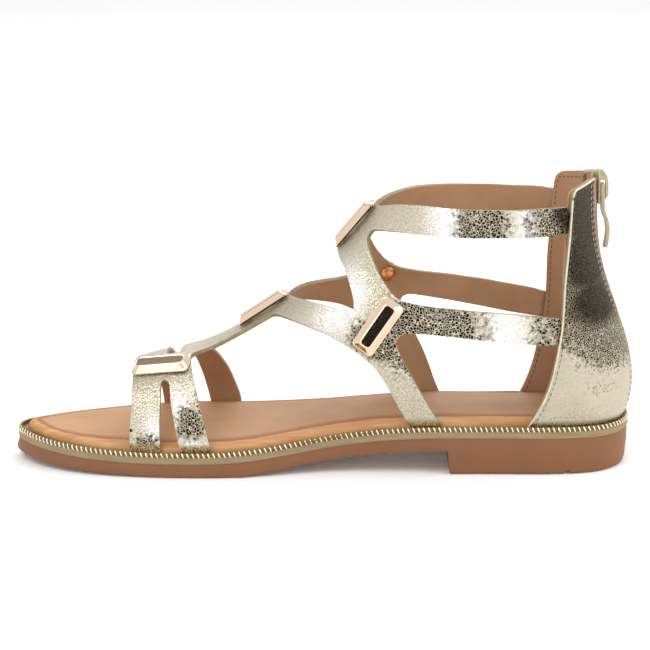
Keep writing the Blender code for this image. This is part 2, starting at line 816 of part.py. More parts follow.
def make_outsole(material):
    breast = HEEL_BREAST * SOLE_LENGTH
    groove = HEEL_GROOVE * SOLE_LENGTH
    step, half = SHARP_STEP, GROOVE_WIDTH / 2
    extra = (breast - step, breast + BREAST_SLOPE, groove - half - step, groove - half + step,
             groove + half - step, groove + half + step)
    stations = sole_stations(extra)
    share = sole_loop(stations, 0.0)[1] / SOLE_LENGTH
    lean = HEEL_LEANS_IN * (1 - smooth_step(share, 0, HEEL_LEAN_ENDS))
    lean -= TOE_STANDS_OUT * smooth_step(share, TOE_LEAN_STARTS, 1)

    def top(s):
        return welt_top(s) - WELT_THICKNESS - CLEARANCE

    def upper_part(s):
        return outsole_bottom(s) + (top(s) - outsole_bottom(s)) * UPPER_LINE

    def above(height):
        return lambda s: outsole_bottom(s) + height

    radius = SOLE_EDGE_RADIUS
    levels = [
        level(stations, lean + radius, outsole_bottom),
        level(stations, lean + radius * ROUNDING_STEP, above(radius * ROUNDING_STEP)),
        level(stations, lean, above(radius)),
        level(stations, lean * LEAN_AT_UPPER_LINE, upper_part),
        level(stations, CLEARANCE, top),
    ]
    points, faces = stacked_loops(levels)
    return make_node("outsole", points, faces, material)


def make_welt(material):
    stations = sole_stations()

    def down(depth):
        return lambda s: welt_top(s) - depth

    levels = [
        level(stations, WELT_EDGE, down(WELT_THICKNESS)),
        level(stations, 0.0, down(WELT_THICKNESS - WELT_EDGE)),
        level(stations, 0.0, down(WELT_EDGE)),
        level(stations, WELT_EDGE, down(0.0)),
    ]
    points, faces = stacked_loops(levels)
    return make_node("welt", points, faces, material)


def make_trim(material):
    """The ribbed band on the welt's top edge, as a plain ring."""
    stations = sole_stations()
    low, high = CLEARANCE, CLEARANCE + TRIM_HEIGHT
    section = ((0, low), (0, high * TRIM_SHOULDER), (WELT_EDGE, high), (TRIM_WIDTH, high), (TRIM_WIDTH, low))
    loops = [level(stations, inset, lambda s, h=h: welt_top(s) + h) for inset, h in section]
    size = len(loops[0])
    faces = []
    for k in range(len(loops)):
        after = (k + 1) % len(loops)
        for i in range(size):
            j = (i + 1) % size
            faces.append((k * size + j, k * size + i, after * size + i, after * size + j))
    return make_node("welt_trim", np.concatenate(loops), faces, material)


def make_insole(material):
    stations = sole_stations()
    edge = margin(sole_loop(stations, 0.0)[1]) + CLEARANCE

    def up(share):
        return lambda s: welt_top(s) + CLEARANCE + INSOLE_THICKNESS * share

    levels = [level(stations, edge + INSOLE_SLOPE * inward, up(height)) for inward, height in INSOLE_SECTION]
    points, faces = stacked_loops(levels)
    return make_node("insole", points, faces, material)


# Bars and rivets: each bar lies on the straps along a line of their outer face

class Seat:
    """The place of one bar: its middle, its directions and its height."""

    def __init__(self, side, first, second):
        runs, turns = places(side, [first, second])
        tips = LAST.point(runs, turns, STRAP_WALL)
        self.run, self.turn = runs.mean(), turns.mean()
        self.out = LAST.normal(self.run, self.turn)
        self.middle = LAST.point(self.run, self.turn, STRAP_WALL)
        along = tips[1] - tips[0]
        along -= self.out * (along @ self.out)
        self.along = along / np.linalg.norm(along)
        self.across = np.cross(self.out, self.along)
        u, v = np.meshgrid(np.linspace(-0.5, 0.5, 11), np.linspace(-0.5, 0.5, 7))
        under = LAST.point(*self.pattern(u.ravel() * BAR_LENGTH, v.ravel() * BAR_WIDTH), STRAP_WALL)
        self.lift = ((under - self.middle) @ self.out).max() + CLEARANCE

    def pattern(self, u, v):
        """Runs and turns of the places that lie u along and v across, in metres."""
        u, v = np.atleast_1d(u), np.atleast_1d(v)
        run, turn = np.full(len(u), self.run), np.full(len(u), self.turn)
        goal = self.middle + self.along * u[:, None] + self.across * v[:, None]
        for _ in range(6):
            gap = goal - LAST.point(run, turn, STRAP_WALL)
            by_run, by_turn = LAST.slopes(run, turn)
            step = solve_pair(by_run @ self.along, by_turn @ self.along, by_run @ self.across,
                              by_turn @ self.across, gap @ self.along, gap @ self.across)
            run, turn = run + step[0], turn + step[1]
        return run, turn

    def world(self, u, v, height):
        return self.middle + self.along * u + self.across * v + self.out * height


def bar_loop(length, width, corner):
    """A rectangle with rounded corners, three points at each."""
    a, b = length / 2, width / 2
    c = min(corner, b * 0.6)
    quarter = ((a - c, -b), (a - c * 0.3, -b + c * 0.3), (a, -b + c))
    front = quarter + tuple((u, -v) for u, v in quarter[::-1])
    return front + tuple((-u, -v) for u, v in front)


def make_bar(name, seat, material):
    inset = BAR_RIM
    sections = (
        (BAR_LENGTH, BAR_WIDTH, 0.0),
        (BAR_LENGTH, BAR_WIDTH, BAR_RIM),
        (BAR_LENGTH - inset, BAR_WIDTH - inset, BAR_RIM * 1.15),
        (BAR_LENGTH - 2 * BAR_BEVEL, BAR_WIDTH - 2 * BAR_BEVEL, BAR_HEIGHT),
    )
    points, size = [], 12
    for length, width, height in sections:
        points += [seat.world(u, v, seat.lift + height) for u, v in bar_loop(length, width, BAR_CORNER)]
    faces = [
        (k * size + i, k * size + (i + 1) % size, (k + 1) * size + (i + 1) % size, (k + 1) * size + i)
        for k in range(len(sections) - 1)
        for i in range(size)
    ]
    faces += [tuple(range(size))[::-1], tuple(k + 3 * size for k in range(size))]
    return make_node(name, points, faces, material)


def rivet_axis(seat, end):
    """Middle of the strap's hole on its inner face, and the way out through it."""
    run, turn = seat.pattern(end * RIVET_SPACING / 2, 0.0)
    return LAST.point(run, turn)[0], LAST.normal(run, turn)[0]


def make_rivet(name, seat, end, material):
    """A domed head inside the strap and a stem through it up to the bar."""
    base, strap_out = rivet_axis(seat, end)
    top = (seat.world(0, 0, seat.lift - CLEARANCE) - base) @ seat.out
    head, stem = RIVET_HEAD / 2, RIVET_STEM / 2
    tilt_room = head * math.tan(math.acos(min(1, strap_out @ seat.out)))
    low = -CLEARANCE - tilt_room - SHARP_STEP
    rings = ((stem, top), (stem, low), (head, low), (head, low - RIVET_DOME * 0.35),
             (head * 0.8, low - RIVET_DOME * 0.75), (head * 0.4, low - RIVET_DOME))
    size = RIVET_SIDES
    points = []
    for radius, height in rings:
        for k in range(size):
            angle = 2 * math.pi * k / size
            spoke = seat.along * math.cos(angle) + seat.across * math.sin(angle)
            points.append(base + spoke * radius + seat.out * height)
    faces = [
        ((k + 1) * size + i, (k + 1) * size + (i + 1) % size, k * size + (i + 1) % size, k * size + i)
        for k in range(len(rings) - 1)
        for i in range(size)
    ]
    faces += [tuple(range(size)), tuple(k + (len(rings) - 1) * size for k in range(size))[::-1]]
    return make_node(name, points, faces, material)


def rivet_hole(seat, end):
    """The hole in the flat pattern of the straps that the rivet's stem goes through."""
    radius = RIVET_STEM / 2 + CLEARANCE + SHARP_STEP
    angle = 2 * math.pi * np.arange(8) / 8
    run, turn = seat.pattern(end * RIVET_SPACING / 2 + radius * np.cos(angle), radius * np.sin(angle))
    return np.stack([run, turn * TURN_TO_LENGTH], -1)


def make_strap_cage(seats, material):
    inner = pattern_edge(INNER_TOE_BAND + INNER_INSTEP + ANKLE_STRAPS, INNER)
    outer = pattern_edge(OUTER_TOE_BAND + OUTER_INSTEP + ANKLE_STRAPS, OUTER)
    front = pattern_edge(FRONT_OF_TOE_BAND, OUTER)
    top = pattern_edge(TOP_OF_ANKLE, OUTER)
    outline = rounded(front + inner + top + outer[::-1])
    window = rounded(
        pattern_edge(WINDOW_BOTTOM, OUTER)
        + pattern_edge(INNER_WINDOW, INNER)
        + pattern_edge(WINDOW_TOP, OUTER)
        + pattern_edge(OUTER_WINDOW, OUTER)[::-1]
    )
    holes = [rivet_hole(seat, end) for seat in seats for end in (-1, 1)]
    corners, faces = triangulated(outline, [window] + holes)
    run, turn = corners[:, 0], corners[:, 1] / TURN_TO_LENGTH
    inside_face = LAST.point(run, turn)
    outside_face = LAST.point(run, turn, np.full(len(run), STRAP_WALL))
    for face in (inside_face, outside_face):
        face[:, 2] = np.maximum(face[:, 2], welt_top(from_back(face[:, 0])) + CLEARANCE)
    points, shell = closed_sheet(inside_face, outside_face, faces)
    return make_node("strap_cage", points, shell, material)


# Counter: columns run from its front edge to the zip, rows from the welt up

def back_angle(z, side, y):
    """Where round the heel the half width is y, which is more than the zip's ridge."""
    ridge = ZIP_RIDGE / 2
    wide = half_width(BACK_TURN * SOLE_LENGTH, z, side) - ridge
    return np.arccos(((y - ridge) / wide) ** (back_roundness(z) / 2))


def back_point(angle, z, side):
    """A place round the heel: a negative angle lies in front of the round back."""
    turn = BACK_TURN * SOLE_LENGTH
    depth = back_of_last(z) - turn
    power = 2 / back_roundness(z)
    ahead = np.minimum(angle, 0)
    bent = np.clip(angle, 0, math.pi / 2)
    x = turn + depth * (ahead + np.sin(bent) ** power)
    ridge = ZIP_RIDGE / 2
    y = side * (ridge + (half_width(np.minimum(x, turn), z, side) - ridge) * np.cos(bent) ** power)
    return np.stack([x, y, z + 0 * x], -1)


def back_point_out(angle, z, side, out):
    da, dz = 0.003, 0.0005
    by_angle = back_point(angle + da, z, side) - back_point(angle - da, z, side)
    by_height = back_point(angle, z + dz, side) - back_point(angle, z - dz, side)
    normal = np.cross(by_angle, by_height) * -side
    normal /= np.linalg.norm(normal, axis=-1, keepdims=True)
    return back_point(angle, z, side) + normal * out


def counter_angles(z, side, half_opening):
    """First and last angle of the counter at a height."""
    turn = BACK_TURN * SOLE_LENGTH
    share = (front_of_counter(z, side) - turn) / (back_of_last(z) - turn)
    bent = np.arcsin(np.clip(share, 0, 1) ** (back_roundness(z) / 2))
    first = np.where(share < 0, share, bent)
    return first, back_angle(z, side, half_opening)


def make_counter_layer(name, side, low, high, drop, material):
    """One layer of the counter: low and high are its distances from the last."""
    columns = (np.linspace(0, 1, COUNTER_COLUMNS) ** COLUMN_CROWDING)[None, :]
    rows = np.linspace(0, 1, COUNTER_ROWS)[:, None]
    bottom = HEEL_TOP + CLEARANCE * 2
    reach = np.clip(1 - columns * COUNTER_REACH / COUNTER_CORNER, 0, 1)
    corner = COUNTER_CORNER * (1 - np.sqrt(1 - reach**2))
    top = COUNTER_HEIGHT - drop - COUNTER_FALL * (1 - columns) - corner
    z = bottom + (top - bottom) * rows
    first, last = counter_angles(z, side, ZIP_OPENING / 2)
    angle = first + (last - first) * columns
    faces = grid_faces(COUNTER_ROWS, COUNTER_COLUMNS)
    layers = [back_point_out(angle, z, side, out).reshape(-1, 3) for out in (low, high)]
    for layer in layers:
        layer[:, 2] = np.maximum(layer[:, 2], HEEL_TOP + CLEARANCE)
    if side == OUTER:
        faces = [f[::-1] for f in faces]
    points, shell = closed_sheet(layers[0], layers[1], faces)
    return make_node(name, points, shell, material)


def zip_place(z, side, y, out):
    """A place at the zip: flat across the ridge, round the heel beside it."""
    if y > ZIP_RIDGE / 2:
        return back_point_out(back_angle(z, side, y), z, side, out)
    slope = np.gradient(back_of_last(z), z)
    across = np.sqrt(1 + slope**2)
    return np.stack([back_of_last(z) + out / across, np.full(len(z), side * y), z - out * slope / across], -1)


def zip_strip(name, columns, low, high, top, material):
    """A strip of the zip up the counter's back, its columns as side and distance from the middle."""
    rows = COUNTER_ROWS + 2
    z = np.linspace(HEEL_TOP + CLEARANCE * 2, top, rows)
    layers = []
    for out in (low, high):
        layer = np.stack([zip_place(z, side, y, out) for side, y in columns], 1).reshape(-1, 3)
        layer[:, 2] = np.maximum(layer[:, 2], HEEL_TOP + CLEARANCE)
        layers.append(layer)
    points, shell = closed_sheet(layers[0], layers[1], grid_faces(rows, len(columns)))
    return make_node(name, points, shell, material)


# Zip slider, in its own directions: out from the counter, across and up

def slider_frame():
    """Foot point of the slider's middle on the last, and its two directions."""
    middle = COUNTER_HEIGHT + SLIDER_TOP_GAP - SLIDER_HEIGHT / 2
    reach = SLIDER_HEIGHT / 3
    low, high = back_of_last(middle - reach), back_of_last(middle + reach)
    up = np.array([high - low, 0, 2 * reach])
    up /= np.linalg.norm(up)
    out = np.array([up[2], 0, -up[0]])
    return np.array([float(back_of_last(middle)), 0, middle]), out, up


def coil_depths():
    """Inner and outer distance of the coil from the last."""
    middle = (LINING_WALL + CLEARANCE + SHELL_WALL) / 2 + HINGE_PLAY
    return middle - COIL_THICKNESS / 2, middle + COIL_THICKNESS / 2


def hinge_place():
    """How far out from the last and how high the pull's hinge lies on the slider."""
    plate_face = coil_depths()[1] + CLEARANCE + SLIDER_PLATE
    out = plate_face + CLEARANCE + HINGE_PLAY + PULL_THICKNESS / 2
    return out, SLIDER_HEIGHT / 2 - HINGE_BELOW_TOP


def make_block(name, outline, low, high, material, swap=False):
    """An outline of out and up drawn through a width, or of across and up through a depth."""
    start, out, up = slider_frame()
    across = np.array([0, 1, 0])
    wide, flat = (across, out) if not swap else (out, across)
    ring = [start + flat * u + up * v for u, v in outline]
    size = len(ring)
    points = [p + wide * low for p in ring] + [p + wide * high for p in ring]
    faces = [(i, (i + 1) % size, (i + 1) % size + size, i + size) for i in range(size)]
    faces += [tuple(range(size))[::-1], tuple(range(size, 2 * size))]
    if volume_of(points, faces) < 0:
        faces = [f[::-1] for f in faces]
    return make_node(name, points, faces, material, smooth=False)


def join_solids(base, others):
    for k, other in enumerate(others):
        union = base.modifiers.new(f"join_{k}", "BOOLEAN")
        union.operation = "UNION"
        union.solver = "EXACT"
        union.object = other
        other.hide_render = True
        other.display_type = "WIRE"
    return base


def mirrored(half):
    """A half outline from the top down, and its other half back up."""
    return tuple((-y, z) for y, z in half) + tuple(half[::-1])


def make_slider(material):
    inner_face, outer_face = coil_depths()
    inner_face -= CLEARANCE
    outer_face += CLEARANCE
    tall = SLIDER_HEIGHT / 2
    plate = mirrored([(SLIDER_WIDTH / 2 * across, tall * up) for across, up in OUTER_PLATE])
    outer_plate = make_block("zip_slider", plate, outer_face, outer_face + SLIDER_PLATE, material, swap=True)
    plate = mirrored([(SLIDER_BACK_WIDTH / 2 * across, tall * up) for across, up in INNER_PLATE])
    inner_plate = make_block("slider_back", plate, inner_face - SLIDER_PLATE, inner_face, material, swap=True)
    post_in, post_out = inner_face - SLIDER_PLATE / 2, outer_face + SLIDER_PLATE / 2
    post_low, post_high = tall - SLIDER_POST - CLEARANCE, tall - CLEARANCE
    post = ((post_in, post_low), (post_out, post_low), (post_out, post_high), (post_in, post_high))
    post = make_block("slider_post", post, -CROWN_WIDTH / 2, CROWN_WIDTH / 2, material)
    nose_low = tall - SLIDER_TOP_GAP + 3 * CLEARANCE
    nose = ((-SLIDER_NOSE, nose_low), (post_out, nose_low), (post_out, tall - SHARP_STEP),
            (-SLIDER_NOSE, tall - SHARP_STEP))
    nose = make_block("slider_nose", nose, -SLIDER_WIDTH * 0.25, SLIDER_WIDTH * 0.25, material)
    tunnel = hinge_place()[0] + PULL_THICKNESS / 2 + CLEARANCE + HINGE_PLAY
    roof = tunnel + CROWN_THICKNESS
    bevel = CROWN_THICKNESS * 0.8
    middle = hinge_place()[1]
    top, bottom = middle + CROWN_HEIGHT / 2, middle - CROWN_HEIGHT / 2
    hole_top = middle + CROWN_HOLE_ABOVE
    crown = (
        (post_out, bottom),
        (post_out, bottom + CROWN_LEG),
        (tunnel, bottom + CROWN_LEG),
        (tunnel, hole_top),
        (post_out, hole_top),
        (post_out, top),
        (roof - 2.2 * bevel, top),
        (roof - 0.5 * bevel, top - 2.6 * bevel),
        (roof, top - 5.5 * bevel),
        (roof, bottom + 1.6 * bevel),
        (roof - bevel, bottom),
    )
    crown = make_block("slider_crown", crown, -CROWN_WIDTH / 2, CROWN_WIDTH / 2, material)
    return join_solids(outer_plate, [inner_plate, post, nose, crown])


def make_pull(material):
    """The flat pull: a frame round the slider's crown at the top, then an S."""
    start, out, up = slider_frame()
    far, high = hinge_place()
    hinge = start + out * far + up * high
    rows = np.array(PULL_LINE) * PULL_LENGTH
    tip = PULL_TOP_BAR
    down = np.concatenate([[-PULL_TOP_BAR / 2, PULL_TOP_BAR / 2, PULL_WINDOW / 2, PULL_WINDOW],
                           np.linspace(PULL_WINDOW * 1.5, PULL_LENGTH - 1.5 * tip, PULL_ROWS),
                           [PULL_LENGTH - tip / 2, PULL_LENGTH]])
    behind = back_of_last(hinge[2] - down) - back_of_last(hinge[2])
    away = curve_through(rows[:, 0], rows[:, 1], down) + behind
    line = np.stack([away, -down], -1)
    tangent = np.gradient(line, axis=0)
    tangent /= np.linalg.norm(tangent, axis=1)[:, None]
    side_out = np.stack([-tangent[:, 1], tangent[:, 0]], -1)
    half = PULL_WIDTH / 2
    across = np.array([-half, -half + PULL_SIDE_BAR, half - PULL_SIDE_BAR, half])
    narrow = np.ones(len(down))
    narrow[-2:] = (0.86, 0.62)
    layers = []
    for depth in (PULL_THICKNESS / 2, -PULL_THICKNESS / 2):
        moved = line + side_out * depth
        flat = [hinge + np.array([u, y * w, v]) for (u, v), w in zip(moved, narrow) for y in across]
        layers.append(np.array(flat))
    faces = grid_faces(len(down), 4, skip=((1, 1), (2, 1)))
    points, shell = closed_sheet(layers[0], layers[1], faces)
    return make_node("zip_pull", points, shell, material)


def make_material(name, colour, roughness, metallic):
    material = bpy.data.materials.new(name)
    material.use_nodes = True
    shader = material.node_tree.nodes["Principled BSDF"]
    shader.inputs["Base Color"].default_value = (*colour, 1)
    shader.inputs["Roughness"].default_value = roughness
    shader.inputs["Metallic"].default_value = metallic
    return material


def main():
    for old in list(bpy.data.objects):
        bpy.data.objects.remove(old)
    rubber = make_material("rubber", (0.30, 0.14, 0.06), 0.55, 0.0)
    edge = make_material("welt", (0.26, 0.20, 0.12), 0.6, 0.0)
    gold = make_material("gold_trim", (0.72, 0.52, 0.28), 0.3, 1.0)
    footbed = make_material("footbed", (0.62, 0.35, 0.20), 0.6, 0.0)
    metallic = make_material("metallic_leather", (0.72, 0.66, 0.52), 0.35, 0.8)
    lining = make_material("lining", (0.42, 0.21, 0.12), 0.65, 0.0)
    polished = make_material("polished_gold", (0.85, 0.66, 0.52), 0.12, 1.0)
    copper = make_material("copper", (0.70, 0.33, 0.16), 0.3, 1.0)
    tape = make_material("zip_tape", (0.55, 0.42, 0.34), 0.7, 0.0)
    painted = make_material("painted_zip", (0.50, 0.44, 0.33), 0.45, 0.0)

    make_outsole(rubber)
    make_welt(edge)
    make_trim(gold)
    make_insole(footbed)

    seats = {name: Seat(side, first, second) for name, side, first, second in bar_rows()}
    make_strap_cage(list(seats.values()), metallic)
    for name, seat in seats.items():
        make_bar(f"bar_{name}", seat, polished)
        for end, word in ((-1, "front"), (1, "rear")):
            make_rivet(f"rivet_{name}_{word}", seat, end, copper)

    shell = LINING_WALL + CLEARANCE
    for side, word in ((INNER, "inner"), (OUTER, "outer")):
        make_counter_layer(f"counter_{word}", side, shell, shell + SHELL_WALL, 0.0, metallic)
        make_counter_layer(f"counter_lining_{word}", side, 0.0, LINING_WALL, LINING_DROP, lining)

    near, far = coil_depths()
    middle = (near + far) / 2
    coil_half = COIL_WIDTH / 2
    tape_low, tape_high = middle - TAPE_THICKNESS / 2, middle + TAPE_THICKNESS / 2
    for side, word in ((INNER, "inner"), (OUTER, "outer")):
        first, last = ZIP_RIDGE / 2 + SHARP_STEP, ZIP_OPENING / 2 - CLEARANCE
        columns = ((side, first), (side, first * 0.6 + last * 0.4), (side, last))
        zip_strip(f"zip_tape_{word}", columns if side == OUTER else columns[::-1],
                  tape_low, tape_high, COUNTER_HEIGHT - LINING_DROP, tape)
    coil_top = COUNTER_HEIGHT + SLIDER_TOP_GAP - SLIDER_POST - CLEARANCE * 3
    zip_strip("zip_coil", ((INNER, coil_half), (OUTER, coil_half)), near, far, coil_top, painted)
    make_slider(painted)
    make_pull(painted)


def bar_rows():
    for name, side, a0, h0, c0, a1, h1, c1 in BARS:
        yield name, side, (a0, h0, c0), (a1, h1, c1)


main()
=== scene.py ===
"""Gladiator sandal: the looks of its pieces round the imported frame, in metres.

The toe points along -X, +Z is up and -Y is the inner side of the foot.
"""
import math

import bmesh
import bpy
import numpy as np
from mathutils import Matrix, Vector
from mathutils.bvhtree import BVHTree


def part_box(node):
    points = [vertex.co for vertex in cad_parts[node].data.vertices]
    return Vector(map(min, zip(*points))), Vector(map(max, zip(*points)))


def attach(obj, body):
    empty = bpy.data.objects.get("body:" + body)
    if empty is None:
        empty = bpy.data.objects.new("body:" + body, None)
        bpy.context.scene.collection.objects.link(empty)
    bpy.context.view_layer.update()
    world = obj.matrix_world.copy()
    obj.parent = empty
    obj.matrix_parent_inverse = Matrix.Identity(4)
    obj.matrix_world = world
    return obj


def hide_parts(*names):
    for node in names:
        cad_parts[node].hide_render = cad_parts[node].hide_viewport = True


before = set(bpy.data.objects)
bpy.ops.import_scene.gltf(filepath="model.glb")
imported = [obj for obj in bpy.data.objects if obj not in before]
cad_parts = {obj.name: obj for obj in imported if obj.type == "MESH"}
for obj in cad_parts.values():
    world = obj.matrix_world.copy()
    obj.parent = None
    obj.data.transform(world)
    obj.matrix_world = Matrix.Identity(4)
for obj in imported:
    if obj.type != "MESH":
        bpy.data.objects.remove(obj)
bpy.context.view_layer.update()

# Camera, at the photograph's place
CAMERA_PLACE = (-0.093, -0.964309, 0.302069)
CAMERA_AIM = (-0.093, 0.0034, 0.050)
CAMERA_LENS = 130.75
CAMERA_SENSOR = 36.0
CAMERA_SHIFT = (0.0100, 0.0221)

# Sides of the foot, as signs of Y, and directions
INNER = -1
OUTER = 1
DOWN = Vector((0, 0, -1))
UP = Vector((0, 0, 1))
TOWARD_HEEL = Vector((1, 0, 0))

# Points nearer than this are one point, and pieces that meet stay this far apart
MERGE = 0.00001
TOUCH = 0.00003

# Angles in degrees: the bend up to which a sheet's face runs on, a corner, and a flat face's bend
SHEET_BEND = 50
CORNER_ANGLE = 140
FLAT = 5

# Leather: walls, rounded edges, rows of stitches and their way in from the edge
STRAP_WALL = 0.0018
SHELL_WALL = 0.0016
LINING_WALL = 0.0011
EDGE_ROUNDING = 0.00035
STRAP_TO_COUNTER = 0.0012
FOLD_RADIUS = 0.00042
FOLD_INSET = 0.0002
FOLD_STEP = 0.0016
STITCH_LENGTH = 0.0017
STITCH_PITCH = 0.0024
STITCH_RADIUS = 0.00020
STITCH_LIFT = 0.00005
EDGE_ROW_INSET = 0.0016
ZIP_ROW_INSETS = (0.0011, 0.0027)
ZIP_ROW_FOOT = 0.0215

# Height over the welt up to which the foil is speckled darker gold, and the length of the fade
STRAP_SPECKLE_HEIGHT = 0.0052
COUNTER_SPECKLE_HEIGHT = 0.0036
SPECKLE_FADE = 0.0016

# Footbed: its low crown, and its outline's way in from the welt's edge
FOOTBED_CROWN = 0.0004
CROWN_RUN = 0.02
MARGIN = 0.0041
HEEL_MARGIN = 0.0066
FOOTBED_BAND = 0.020
OVER_WELT = 0.002

# Where the footbed's margin and its burnished line change, from the start to the end of the change
HEEL_ZONE = (-0.037, -0.006)
TOE_ZONE = (-0.175, -0.205)
TIP_ZONE = (-0.21, -0.18)
FAR_SIDE_ZONE = (0.0, 0.01)
NARROWER_AT_HEEL = 0.5
NARROWER_AT_TOE = 0.7
NARROWER_FAR_SIDE = 1.2

# Gold band: a bead's pitch, half sizes, lean along the band and inward, and way off its line
BEAD_PITCH = 0.00215
BEAD_SIZE = (0.00050, 0.00066, 0.00128)
BEAD_LEAN = 0.5
BEAD_LEAN_IN = 0.15
BEAD_INWARD = 0.00045
BEAD_DOWN = 0.0004
SOLE_MIDDLE = (-0.09, 0.003, 0.0)

# Zip: the teeth's pitch, half sizes, way aside, way in and lean, where the rays for the coil's
# line start, and the tapes' edges that meet the coil below the slider
COIL_PITCH = 0.0011
TOOTH_SIZE = (0.00120, 0.00042, 0.00070)
TOOTH_ASIDE = 0.00085
TOOTH_SUNK = 0.0006
TOOTH_LEAN = 0.35
COIL_ENDS = (0.0006, 0.0004)
COIL_RAYS = 60
BEHIND_HEEL = 0.08
BESIDE_MIDDLE = 0.0003
TAPE_EDGE_ZONE = 0.0032
SLIDER_CLEARANCE = 0.0005

# Metal and rubber: the bars' raised crown and the rounding of the edges
CROWN_INSET = 0.0006
CROWN_RISE = 0.00012
BAR_ROUNDING = 0.0002
SMALL_ROUNDING = 0.00018
SOLE_ROUNDING = 0.0004


def deselect():
    bpy.ops.object.select_all(action="DESELECT")


def pick(piece):
    """Makes one piece the only selected and the active one."""
    deselect()
    piece.select_set(True)
    bpy.context.view_layer.objects.active = piece


def apply_modifier(piece, kind, **settings):
    modifier = piece.modifiers.new(kind.lower(), kind)
    for key, value in settings.items():
        setattr(modifier, key, value)
    pick(piece)
    bpy.ops.object.modifier_apply(modifier=modifier.name)


def smooth(piece, degrees):
    """Shades a piece smooth, apart from its edges that bend more than an angle."""
    pick(piece)
    bpy.ops.object.shade_smooth_by_angle(angle=math.radians(degrees))


def subdivide(piece, levels):
    apply_modifier(piece, "SUBSURF", levels=levels, render_levels=levels)


def bevel(piece, width, degrees, segments=2, harden=False):
    """Rounds the edges that bend more than an angle."""
    apply_modifier(piece, "BEVEL", width=width, segments=segments, limit_method="ANGLE",
                   angle_limit=math.radians(degrees), harden_normals=harden)


def thicken(piece, wall, **settings):
    """Gives an open surface its wall, on its inner side."""
    apply_modifier(piece, "SOLIDIFY", thickness=wall, offset=-1, use_even_offset=True, **settings)


def share_of(values, zone):
    """How far values are through a zone, from 0 at its start to 1 at its end."""
    start, end = zone
    return np.clip((values - start) / (end - start), 0, 1)


def copy_of(node, name, quads=True):
    """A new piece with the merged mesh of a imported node."""
    piece = bpy.data.objects.new(name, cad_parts[node].data.copy())
    bpy.context.scene.collection.objects.link(piece)
    piece.data.materials.clear()
    pick(piece)
    bpy.ops.object.mode_set(mode="EDIT")
    bpy.ops.mesh.select_all(action="SELECT")
    bpy.ops.mesh.remove_doubles(threshold=MERGE)
    if piece.data.has_custom_normals:
        bpy.ops.mesh.customdata_custom_splitnormals_clear()
    if quads:
        limit = math.radians(40)
        bpy.ops.mesh.tris_convert_to_quads(face_threshold=limit, shape_threshold=limit)
    bpy.ops.mesh.select_all(action="DESELECT")
    bpy.ops.object.mode_set(mode="OBJECT")
    return piece


def patches_of(mesh, limit):
    """Groups of faces joined over edges that bend less than the limit, the largest first."""
    seen = set()
    patches = []
    for start in mesh.faces:
        if start.index in seen:
            continue
        seen.add(start.index)
        patch, queue = [], [start]
        while queue:
            face = queue.pop()
            patch.append(face)
            for edge in face.edges:
                if len(edge.link_faces) != 2 or edge.calc_face_angle() > limit:
                    continue
                for other in edge.link_faces:
                    if other.index not in seen:
                        seen.add(other.index)
                        queue.append(other)
        patches.append(patch)
    patches.sort(key=lambda patch: -sum(face.calc_area() for face in patch))
    return patches


def keep_one_face(piece, inner_face=False):
    """Leaves one face of a sheet with thickness: the larger outer or the smaller inner one."""
    mesh = bmesh.new()
    mesh.from_mesh(piece.data)
    patches = patches_of(mesh, math.radians(SHEET_BEND))
    kept = {face.index for face in patches[1 if inner_face else 0]}
    bmesh.ops.delete(mesh, geom=[f for f in mesh.faces if f.index not in kept], context="FACES")
    layer = mesh.verts.layers.float.new("crease_vert")
    for vert in mesh.verts:
        rim = [edge for edge in vert.link_edges if edge.is_boundary]
        if len(rim) == 2:
            first, second = (edge.other_vert(vert).co - vert.co for edge in rim)
            if first.angle(second, math.pi) < math.radians(CORNER_ANGLE):
                vert[layer] = 1.0
    mesh.to_mesh(piece.data)
    mesh.free()


def rims(piece):
    """The free borders of an open piece, each as a list of points in order."""
    mesh = bmesh.new()
    mesh.from_mesh(piece.data)
    free = {edge for edge in mesh.edges if edge.is_boundary}
    found = []
    while free:
        edge = min(free, key=lambda e: e.index)
        free.discard(edge)
        first, here = edge.verts
        loop = [first.co.copy(), here.co.copy()]
        while here != first:
            ahead = [e for e in here.link_edges if e in free]
            if not ahead:
                break
            free.discard(ahead[0])
            here = ahead[0].other_vert(here)
            loop.append(here.co.copy())
        found.append(loop[:-1])
    mesh.free()
    found.sort(key=len, reverse=True)
    return found


def evenly(points, pitch, closed=False):
    """Points at an even pitch along a path, with their directions."""
    path = np.array([tuple(p) for p in points], float)
    if closed:
        path = np.vstack([path, path[:1]])
    runs = np.concatenate([[0], np.cumsum(np.linalg.norm(np.diff(path, axis=0), axis=1))])
    count = max(2, round(runs[-1] / pitch))
    at = np.linspace(0, runs[-1], count, endpoint=not closed)

    def spot(run):
        run = run % runs[-1] if closed else np.clip(run, 0, runs[-1])
        return np.stack([np.interp(run, runs, path[:, k]) for k in range(3)], -1)

    step = pitch * 0.4
    ahead = spot(at + step) - spot(at - step)
    ahead /= np.linalg.norm(ahead, axis=1)[:, None]
    return spot(at), ahead


def store(piece, name, values):
    attribute = piece.data.attributes.new(name, "FLOAT", "POINT")
    attribute.data.foreach_set("value", np.asarray(values, np.float32))


def points_of(piece):
    return np.array([tuple(v.co) for v in piece.data.vertices])


def surface_tree(piece):
    mesh = piece.data
    places = [vert.co for vert in mesh.vertices]
    return BVHTree.FromPolygons(places, [tuple(face.vertices) for face in mesh.polygons])


